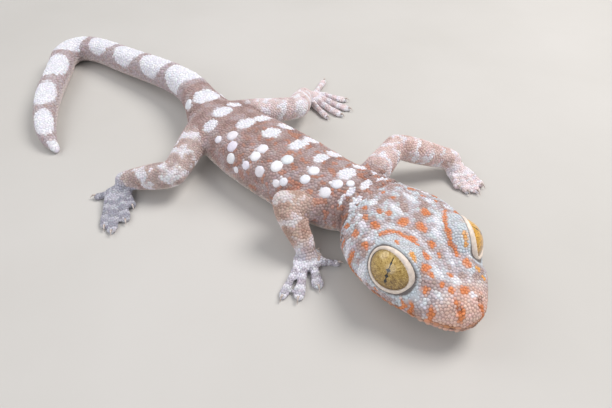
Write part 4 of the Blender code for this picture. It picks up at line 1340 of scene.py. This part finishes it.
def pitch_of_scales(points, region):
    """Distance between the middles of neighbouring scales."""
    kind = region["kind"]
    back, out, height = head_places(points)
    body, head = kind == BODY, kind == HEAD
    on_brow = (np.hypot(back - EYE_BACK, np.abs(out) - BROW_OUT) < BROW_REACH) & (height > BROW_HEIGHT)
    places = (
        ("tail", body & (region["spine_station"] > TAIL_PITCH_FROM)),
        ("belly", body & (np.abs(region["arc"]) > BELLY_FROM)),
        ("head", head),
        ("brow", head & on_brow),
        ("jaw", head & (height < mouth_height(back))),
        ("limb", kind == LIMB_KIND),
        ("digit", kind == DIGIT),
    )
    pitch = np.full(len(points), SCALE_PITCH["body"])
    for name, chosen in places:
        pitch = np.where(chosen, SCALE_PITCH[name], pitch)
    return pitch


def body_place(station, arc):
    """Point of the body's surface from its station and its distance over the skin."""
    index = np.abs(BODY_STATION - station).argmin()
    turn = np.interp(abs(arc), ARCS[index], np.linspace(0.0, math.pi, ARC_STEPS))
    half, top, level, under = BODY_ROWS[index, 2:]
    wide, high = math.sin(turn), math.cos(turn)
    reach = top - level if high >= 0.0 else level - under
    size = (wide ** SECTION_POWER + abs(high) ** SECTION_POWER) ** (1.0 / SECTION_POWER)
    return (BODY_CENTRES[index] + BODY_LEFT[index] * math.copysign(half * wide / size, arc)
            + UP * (level + reach * high / size))


def raised_scales():
    """Places, radii and heights of the larger scales, the first to be laid first."""
    found = []
    # A smooth flat tubercle fills each round white spot.
    for station, arc, long, wide in trunk_spots():
        if wide < ROUND_SPOT_LIMIT and long > ROUND_SPOT_RATIO * wide:
            found.append((*body_place(station, arc), max(long, wide), DISC_HEIGHT))
    # Labial plates lie above and below the line of the mouth.
    for side in (-1.0, 1.0):
        for step in range(LABIAL_COUNT):
            back = LABIAL_START + LABIAL_PITCH * step
            half, _, _, mouth, _ = profile(HEAD_PROFILE, back / HEAD_LENGTH)
            for lift, radius in zip((LABIAL_LIFT, -LABIAL_LIFT), LABIAL_RADII):
                place = head_point(back, side * half * HEAD_WIDTH, mouth + lift)
                found.append((*place, radius, LABIAL_HEIGHT))
    # Tubercles stand in rows along the back, and in whorls round the tail.
    for number, station in enumerate(TUBERCLES):
        for step in range(TUBERCLES_A_SIDE):
            arc = TUBERCLE_SPACING * (step + 0.5 + 0.5 * (number % 2))
            for side in (-1.0, 1.0):
                found.append((*body_place(station, side * arc), TUBERCLE_RADIUS, TUBERCLE_HEIGHT))
    for station in WHORLS:
        thick = BODY_ROWS[np.abs(BODY_STATION - station).argmin(), 2]
        radius = WHORL_RADII[0] + WHORL_RADII[1] * thick
        for share in WHORL_SHARES:
            for side in (-1.0, 1.0):
                found.append((*body_place(station, side * thick * share), radius, WHORL_HEIGHT))
    return np.array(found)


def scatter(points, pitch, rng):
    """Places that keep their pitch, the raised scales' first, and the points that those cover."""
    tree = tree_of(points)
    taken = np.zeros(len(points), bool)
    covered = np.zeros(len(points), bool)
    picks = []
    raised = []
    for x, y, z, radius, height in raised_scales().tolist():
        _, index, distance = tree.find((x, y, z))
        if distance > RAISED_SEARCH or taken[index]:
            continue
        gaps = (math.dist(points[index], place) / (radius + size) for place, size, _ in raised)
        if any(gap < RAISED_PACKING for gap in gaps):
            continue
        for _, other, away in tree.find_range(points[index].tolist(), radius + RAISED_MARGIN):
            taken[other] = True
            covered[other] = covered[other] or away < radius + RAISED_SKIRT
        picks.append(index)
        raised.append((points[index], radius, height))
    for index in rng.permutation(len(points)):
        if taken[index]:
            continue
        for _, other, _ in tree.find_range(points[index].tolist(), pitch[index]):
            taken[other] = True
        picks.append(index)
    return points[picks], np.array([row[1:] for row in raised]), covered


def spread_evenly(points, places, fixed, rounds):
    """Move loose places to the middles of the points that they own; give them and the counts."""
    for _ in range(rounds):
        owner, _ = nearest(points, places)
        count = np.bincount(owner, minlength=len(places))
        centre = np.stack([np.bincount(owner, points[:, axis], len(places)) for axis in range(3)], 1)
        loose = count > 0
        loose[:fixed] = False
        places[loose] = centre[loose] / count[loose, None]
    owner, _ = nearest(points, places)
    return places, np.bincount(owner, minlength=len(places))


def domes(name, places, normals, radii, heights, tints, marks, dome, sink_painted_shade, look, rng):
    """One object of many closed domes, each with its own colour and patch of the unwrap."""
    rings, sides = dome
    count = len(places)
    first = unit(np.cross(normals, rng.normal(size=(count, 3))))
    second = np.cross(normals, first)
    angle = 2.0 * math.pi * np.arange(sides) / sides
    shape = np.array([(reach * math.cos(turn), reach * math.sin(turn), rise)
                      for reach, rise in rings for turn in angle] + [(0.0, 0.0, 1.0)])
    points = places[:, None] + radii[:, None, None] * (
        shape[None, :, 0:1] * first[:, None] + shape[None, :, 1:2] * second[:, None])
    points = points + (heights[:, None] * shape[None, :, 2])[..., None] * normals[:, None]
    points = np.clip(points, BOX_LOW, BOX_HIGH)

    faces = [tuple(range(sides - 1, -1, -1)), *np.vstack(ring_quads(len(rings), sides)).tolist()]
    last = (len(rings) - 1) * sides
    faces.extend((last + side, last + (side + 1) % sides, len(shape) - 1) for side in range(sides))
    corner = np.array([index for face in faces for index in face])
    sizes = np.tile([len(face) for face in faces], count)
    corners = (corner[None] + len(shape) * np.arange(count)[:, None]).ravel()
    obj = build_mesh(name, points.reshape(-1, 3), corners, sizes, look)

    # The sunk ring of each dome is painted darker: painted shade where scales meet.
    shade = np.ones(len(shape))
    shade[:sides] = sink_painted_shade
    set_tint(obj, (tints[:, None] * shade[None, :, None]).reshape(-1, 3))
    patch = marks[:, None] + PATCH_HALF * shape[None, :, :2]
    set_unwrap(obj, patch.reshape(-1, 2)[corners])
    return obj


def set_tint(obj, tints):
    """Store a colour for each point of a mesh."""
    layer = obj.data.color_attributes.new("tint", "FLOAT_COLOR", "POINT")
    values = np.column_stack((np.clip(tints, 0.0, 1.0), np.ones(len(tints))))
    layer.data.foreach_set("color", values.astype(np.float32).ravel())


def set_unwrap(obj, places):
    """Store the unwrap of a mesh, one place for each corner."""
    layer = obj.data.uv_layers.new(name="OFBake")
    layer.data.foreach_set("uv", np.asarray(places, np.float32).ravel())


def add(tree, kind, inputs=None, **settings):
    """Add a shader node with its settings; an input is a value or another node's output."""
    made = tree.nodes.new(kind)
    for name, value in settings.items():
        setattr(made, name, value)
    for key, value in (inputs or {}).items():
        if isinstance(value, bpy.types.NodeSocket):
            tree.links.new(value, made.inputs[key])
        else:
            made.inputs[key].default_value = value
    return made


def new_material(name):
    """Material with an empty tree but for its shader and output."""
    look = bpy.data.materials.new(name)
    look.use_nodes = True
    return look, look.node_tree, look.node_tree.nodes["Principled BSDF"]


def math_node(tree, operation, first, second=0.0, clamp=False):
    """Output of one arithmetic node."""
    made = add(tree, "ShaderNodeMath", {0: first, 1: second}, operation=operation, use_clamp=clamp)
    return made.outputs["Value"]


def colour_ramp(tree, value, stops):
    """Output of a colour ramp with stops of place and colour."""
    ramp = add(tree, "ShaderNodeValToRGB", {"Fac": value})
    elements = ramp.color_ramp.elements
    while len(elements) < len(stops):
        elements.new(0.5)
    for element, (place, colour) in zip(elements, stops):
        element.position = place
        element.color = (*colour, 1.0)
    return ramp.outputs["Color"]


def ranged(tree, value, low, high, start, end):
    """Output of a node that turns low to high into start to end."""
    made = add(tree, "ShaderNodeMapRange", {"Value": value, "From Min": low, "From Max": high,
                                            "To Min": start, "To Max": end})
    return made.outputs["Result"]


def noise_node(tree, place, scale, detail, roughness=0.5, distortion=0.0):
    """Output of a noise texture."""
    made = add(tree, "ShaderNodeTexNoise", {"Vector": place, "Scale": scale, "Detail": detail,
                                            "Roughness": roughness, "Distortion": distortion})
    return made.outputs["Fac"]


def surface(tree, shader, colour, gloss, height, strength, depth):
    """Join colour, roughness and fine relief to a shader."""
    raised = add(tree, "ShaderNodeBump", {"Height": height, "Strength": strength, "Distance": depth * MM})
    tree.links.new(colour, shader.inputs["Base Color"])
    tree.links.new(gloss, shader.inputs["Roughness"])
    tree.links.new(raised.outputs["Normal"], shader.inputs["Normal"])


def coat_material(name, grain, roughness, depth):
    """Skin or scales: the stored tint, mottled by grain, with uneven gloss and fine relief."""
    look, tree, shader = new_material(name)
    tint = add(tree, "ShaderNodeAttribute", attribute_name="tint").outputs["Color"]
    place = add(tree, "ShaderNodeTexCoord").outputs["Object"]
    mottle = noise_node(tree, place, 1.0 / (grain * MM), 4.0)
    light = ranged(tree, mottle, *GRAIN, *GRAIN_LIGHT)
    colour = add(tree, "ShaderNodeVectorMath", {0: tint, 1: light}, operation="MULTIPLY").outputs["Vector"]
    gloss = ranged(tree, mottle, *GRAIN, roughness - COAT_UNEVEN, roughness + COAT_UNEVEN)
    fine = noise_node(tree, place, FINE_GRAIN / (grain * MM), 3.0)
    surface(tree, shader, colour, gloss, fine, COAT_RELIEF, depth)
    shader.inputs["Specular IOR Level"].default_value = COAT_SPECULAR
    return look


def mottled_material(name, colours, grain, roughness, depth):
    """Plain stuff with two shades mottled over it, uneven gloss and fine relief."""
    look, tree, shader = new_material(name)
    place = add(tree, "ShaderNodeTexCoord").outputs["Object"]
    mottle = noise_node(tree, place, 1.0 / (grain * MM), 5.0)
    shade = colour_ramp(tree, mottle, ((0.35, colours[0]), (0.65, colours[1])))
    gloss = ranged(tree, mottle, 0.0, 1.0, roughness - PLAIN_UNEVEN, roughness + PLAIN_UNEVEN)
    surface(tree, shader, shade, gloss, mottle, PLAIN_RELIEF, depth)
    return look


def eye_material(name, tone):
    """Iris in olive gold times a tone of painted light, veined outwards, with a beaded slit, under a wet
    surface.
    """
    look, tree, shader = new_material(name)
    plus, minus, times, over_by = (partial(math_node, tree, kind)
                                   for kind in ("ADD", "SUBTRACT", "MULTIPLY", "DIVIDE"))
    size_of = partial(math_node, tree, "ABSOLUTE")
    place = add(tree, "ShaderNodeAttribute", attribute_name="place").outputs["Vector"]
    split = add(tree, "ShaderNodeSeparateXYZ", {"Vector": place})
    x, y = split.outputs["X"], split.outputs["Y"]
    radius = math_node(tree, "SQRT", plus(times(x, x), times(y, y)))
    angle = math_node(tree, "ARCTAN2", y, x)
    # The veins are noise drawn out along the radius, and the iris is darker low down.
    ray = add(tree, "ShaderNodeCombineXYZ", {
        "X": times(math_node(tree, "COSINE", angle), VEIN_TURN),
        "Y": times(math_node(tree, "SINE", angle), VEIN_TURN),
        "Z": times(radius, VEIN_DRAW)})
    veins = noise_node(tree, ray.outputs["Vector"], *VEIN_NOISE)
    flecks = noise_node(tree, place, *FLECK_NOISE)
    blend = plus(plus(times(veins, 0.5), times(flecks, 0.5)), times(y, IRIS_RISE))
    gold = colour_ramp(tree, blend, [(stop, linear(*colour) * tone) for stop, colour in IRIS])
    rim = ranged(tree, radius, *IRIS_RIM_EDGE)
    ringed = add(tree, "ShaderNodeMix", {"Factor": rim, "A": gold, "B": (*linear(*IRIS_RIM), 1.0)},
                 data_type="RGBA")
    width = PUPIL_WIDTH
    for height, half in PUPIL_BEADS:
        near = minus(1.0, over_by(size_of(minus(y, height)), PUPIL_BEAD), clamp=True)
        width = plus(times(near, half), width)
    width = times(width, ranged(tree, size_of(y), PUPIL_HALF - PUPIL_ENDS, PUPIL_HALF, 1.0, 0.0))
    slit = times(minus(width, size_of(x)), PUPIL_SHARPNESS, clamp=True)
    colour = add(tree, "ShaderNodeMix", {"Factor": slit, "A": ringed.outputs["Result"], "B": PUPIL_BLACK},
                 data_type="RGBA")
    tree.links.new(colour.outputs["Result"], shader.inputs["Base Color"])
    for socket, value in WET_EYE:
        shader.inputs[socket].default_value = value
    return look


def make_skin(look):
    """The one skin of the whole animal, with its markings and its unwrap."""
    points, quads = wrapped(flesh_shapes())
    points = sculpted(points, quads)
    skin = build_mesh("skin", points, quads.ravel(), np.full(len(quads), 4), look)
    region = regions(points)
    # The skin's colour is darkened by painted shade, as it shows in the gaps between scales.
    set_tint(skin, paint(points, region) * SKIN_PAINTED_SHADE)
    skin.data.uv_layers.new(name="OFBake")
    bpy.context.view_layer.objects.active = skin
    skin.select_set(True)
    bpy.ops.object.mode_set(mode="EDIT")
    bpy.ops.mesh.select_all(action="SELECT")
    bpy.ops.uv.smart_project(angle_limit=math.radians(66.0), island_margin=0.002)
    bpy.ops.object.mode_set(mode="OBJECT")
    return skin, points, quads


def bare_skin(middles, normals, region):
    """Which patches of skin carry no scales: the soles, and inside the eyes, mouth, nostrils and ears."""
    bare = (normals[:, 2] < BARE_SOLE[0]) & (middles[:, 2] < BARE_SOLE[1])
    for side in (-1.0, 1.0):
        bare |= beyond_lid(middles, side)[0] < BARE_LID
        nostril = head_point(NOSTRIL[0], side * NOSTRIL[1], NOSTRIL[2])
        bare |= np.linalg.norm(middles - nostril, axis=1) < BARE_NOSTRIL
        bare |= ear_distance(middles, side, (*BARE_EAR, EAR_SIZE[2])) < 1.0
    back, _, height = head_places(middles)
    lips = (region["kind"] == HEAD) & (np.abs(height - mouth_height(back)) < BARE_LIPS)
    return bare | lips & (np.abs(normals[:, 2]) < BARE_LIP_TILT) & (back < MOUTH_END * HEAD_LENGTH)


def make_scales(skin, points, quads, look):
    """Small domes over the whole skin, with raised scales among them."""
    rng = np.random.default_rng(SEED)
    corner = points[quads]
    middles = corner.mean(axis=1)
    normals = quad_normals(points, quads)
    area = 0.5 * np.linalg.norm(np.cross(corner[:, 2] - corner[:, 0], corner[:, 3] - corner[:, 1]), axis=1)
    marks = stored(skin.data.uv_layers["OFBake"].data, "uv", 2).reshape(-1, 4, 2).mean(axis=1)
    region = regions(middles)

    chosen = np.flatnonzero(~bare_skin(middles, normals, region))
    part = {key: np.repeat(values[chosen], 4) for key, values in region.items()}
    # Four points on each quad, half way from its middle to its corners.
    spread = (0.5 * (corner[chosen] + middles[chosen, None])).reshape(-1, 3)
    spread = spread + rng.normal(0.0, PLACE_JITTER, spread.shape)
    places, raised, covered = scatter(spread, pitch_of_scales(spread, part), rng)
    fixed = len(raised)
    places, owned = spread_evenly(spread[~covered], places, fixed, EVEN_ROUNDS)

    root, _ = nearest(places, middles)
    place_region = regions(places)
    tints = paint(places, place_region)
    tints *= np.exp(rng.normal(0.0, TINT_NOISE[0], (len(places), 1)))
    tints *= np.exp(rng.normal(0.0, TINT_NOISE[1], (len(places), 3)))
    radius = np.sqrt(owned * area.mean() / 4.0 / math.pi) * SCALE_OVERLAP
    radius[:fixed] = raised[:, 0]
    height = COAT_DEPTH * np.clip(radius / PLAIN_RADIUS, *SCALE_RISE)
    height[:fixed] = raised[:, 1]
    kind = place_region["kind"]
    station = place_region["spine_station"]
    limb = place_region["limb"]
    small = np.arange(len(places)) >= fixed
    body = small & (kind == BODY)
    groups = {
        "scales_head": small & (kind == HEAD),
        "scales_trunk_front": body & (station < TRUNK_MIDDLE),
        "scales_trunk_back": body & (station >= TRUNK_MIDDLE) & (station < TAIL_SCALES),
        "scales_tail": body & (station >= TAIL_SCALES),
        "scales_front_legs": small & (limb >= 0) & (limb < 2),
        "scales_hind_legs": small & (limb >= 2),
        "raised_scales": ~small,
    }
    pieces = []
    for name, group in groups.items():
        dome = (LARGE_DOME, LARGE_SIDES) if name == "raised_scales" else (SMALL_DOME, SMALL_SIDES)
        # The sunk edges of the head's scales carry a deeper painted shade.
        sink_painted_shade = HEAD_SINK_PAINTED_SHADE if name == "scales_head" else SINK_PAINTED_SHADE
        pieces.append(domes(name, places[group], normals[root][group], radius[group], height[group],
                            tints[group], marks[root][group], dome, sink_painted_shade, look, rng))
    return pieces


def make_eye(side, word, look):
    """Eyeball that stores its places in its own axes: Z the way it looks and Y rising."""
    centre = head_point(EYE_BACK, side * EYE_OUT, EYE_HEIGHT)
    way, along, across = axes_of_look(side, PUPIL_LOOK_FORWARD, PUPIL_LOOK_UP)
    along = np.cross(across, way)
    points, faces = ellipsoid(np.zeros(3), (UP, np.array((1.0, 0, 0)), np.array((0, 1.0, 0))),
                              [EYE_RADIUS] * 3, EYE_STEPS, EYE_SIDES)
    placed = centre + points @ np.array((along, across, way))
    eye = build_mesh("eye_ball_" + word, placed, faces.ravel(), np.full(len(faces), 3), look)
    layer = eye.data.attributes.new("place", "FLOAT_VECTOR", "POINT")
    layer.data.foreach_set("vector", points.astype(np.float32).ravel())
    return eye


def make_lid(side, word, look, rng):
    """Thick pale rim round the eye's opening, broad at its upper front, finely scalloped."""
    centre, way, along, across = eye_axes(side)
    points = []
    for step in range(LID_STEPS):
        angle = 2.0 * math.pi * step / LID_STEPS
        offset = along * LID_HALF_LENGTH * math.cos(angle) + across * LID_HALF_HEIGHT * math.sin(angle)
        place = centre + offset + way * math.sqrt((EYE_RADIUS + LID_PROUD) ** 2 - offset @ offset)
        radial = unit(place - centre)
        outward = unit(place - centre - way * ((place - centre) @ way))
        outward = unit(outward - radial * (outward @ radial))
        thick = lid_thickness(angle)
        scallop = 1.0 + LID_SCALLOP * math.cos(angle * LID_SCALLOPS) + LID_ROUGHNESS * rng.normal()
        lift = 0.5 * (LID_RADIUS_BELOW + thick) * LID_FLATNESS
        points.append(circle(place, outward * thick * scallop, radial * lift, 1.0, LID_SIDES))
    quads = np.vstack(ring_quads(LID_STEPS, LID_SIDES, closed=True))[:, (0, 3, 2, 1)]
    return build_mesh("lid_rim_" + word, np.vstack(points), quads.ravel(), np.full(len(quads), 4), look)


def make_claws(look):
    """Small curved claws that rise from the ends of the digits."""
    shapes = []
    root, rise, fall = CLAW_ARCH
    for plan in LIMBS.values():
        for number in range(len(plan["digits"])):
            _, tip, forward, _ = digit_line(plan, number)
            left = np.cross(UP, forward)
            rings = []
            for step in range(CLAW_STEPS):
                t = step / CLAW_STEPS
                middle = tip - forward * CLAW_LENGTH * (1.0 - t)
                arch = math.sin(math.pi * min(CLAW_TOP[0] * t + CLAW_TOP[1], 1.0))
                height = root + rise * arch - fall * t ** 2
                radius = CLAW_RADII[0] * (1.0 - t ** 1.5) + CLAW_RADII[1]
                rings.append(circle(middle + UP * height, left * CLAW_SLIM, UP, radius, CLAW_SIDES))
            start = rings[0].mean(axis=0) - forward * CLAW_ROOT
            shapes.append(loft(rings, start, tip + UP * CLAW_TIP_HEIGHT))
    return build_mesh("claws", *joined(shapes), look)


def make_stage():
    """Plain pale floor, soft lights, pale surroundings and the photograph's camera."""
    floor_look = mottled_material("floor_look", [linear(*tone) for tone in FLOOR_TONES],
                                  grain=60.0, roughness=0.75, depth=0.02)
    corners = FLOOR_HALF * np.array(((-1, -1, 0), (1, -1, 0), (1, 1, 0), (-1, 1, 0)), float)
    floor = build_mesh("floor", corners, (0, 1, 2, 3), (4,), floor_look)
    link = bpy.context.scene.collection.objects.link
    for name, place, width, power, colour in LIGHTS:
        light = bpy.data.lights.new(name, "AREA")
        light.shape = "DISK"
        light.size = width * MM
        light.energy = power
        light.color = colour
        holder = bpy.data.objects.new(name, light)
        holder.location = Vector(place) * MM
        holder.rotation_euler = (-Vector(place)).to_track_quat("-Z", "Y").to_euler()
        link(holder)
    world = bpy.data.worlds.new("surroundings")
    world.use_nodes = True
    world.node_tree.nodes["Background"].inputs["Color"].default_value = WORLD_COLOUR
    world.node_tree.nodes["Background"].inputs["Strength"].default_value = WORLD_STRENGTH
    bpy.context.scene.world = world
    camera = bpy.data.objects.new("camera", bpy.data.cameras.new("camera"))
    link(camera)
    forward = Vector((math.cos(CAMERA_HEADING) * math.cos(CAMERA_PITCH),
                      math.sin(CAMERA_HEADING) * math.cos(CAMERA_PITCH), -math.sin(CAMERA_PITCH)))
    camera.location = Vector(CAMERA_PLACE) * MM
    camera.rotation_euler = forward.to_track_quat("-Z", "Y").to_euler()
    camera.data.sensor_width = SENSOR_WIDTH
    camera.data.lens = SENSOR_WIDTH * FOCAL_PIXELS / FRAME_PIXELS
    camera.data.clip_start = MM
    bpy.context.scene.camera = camera
    bpy.context.scene.view_settings.view_transform = "Standard"


def main():
    """Every piece, attached to the root, with the imported parts that it stands for hidden, then the stage.
    """
    skin_look = coat_material("skin_look", grain=0.5, roughness=0.6, depth=0.03)
    scale_look = coat_material("scale_look", grain=0.35, roughness=0.48, depth=0.015)
    # The left eye's iris is painted a warmer yellow, as painted light where the eye stands against the light.
    eye_looks = (eye_material("eye_look_right", np.ones(3)), eye_material("eye_look_left", LEFT_EYE_PAINTED_LIGHT))
    lid_look = mottled_material("lid_look", (LID_CREAM * 0.8, LID_CREAM),
                                grain=0.4, roughness=0.45, depth=0.04)
    claw_look = mottled_material("claw_look", (CLAW_TIP, CLAW_BASE),
                                 grain=0.3, roughness=0.35, depth=0.02)

    skin, points, quads = make_skin(skin_look)
    pieces = [skin, *make_scales(skin, points, quads, scale_look)]
    rng = np.random.default_rng(SEED + 1)
    for side, word, eye_look in zip((-1.0, 1.0), ("right", "left"), eye_looks):
        eye = make_eye(side, word, eye_look)
        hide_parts("eye_" + word)
        pieces.append(eye)
        pieces.append(make_lid(side, word, lid_look, rng))
    pieces.append(make_claws(claw_look))
    for piece in pieces:
        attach(piece, "root")
    flesh = [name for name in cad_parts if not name.startswith("eye_")]
    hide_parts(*flesh)
    make_stage()


main()
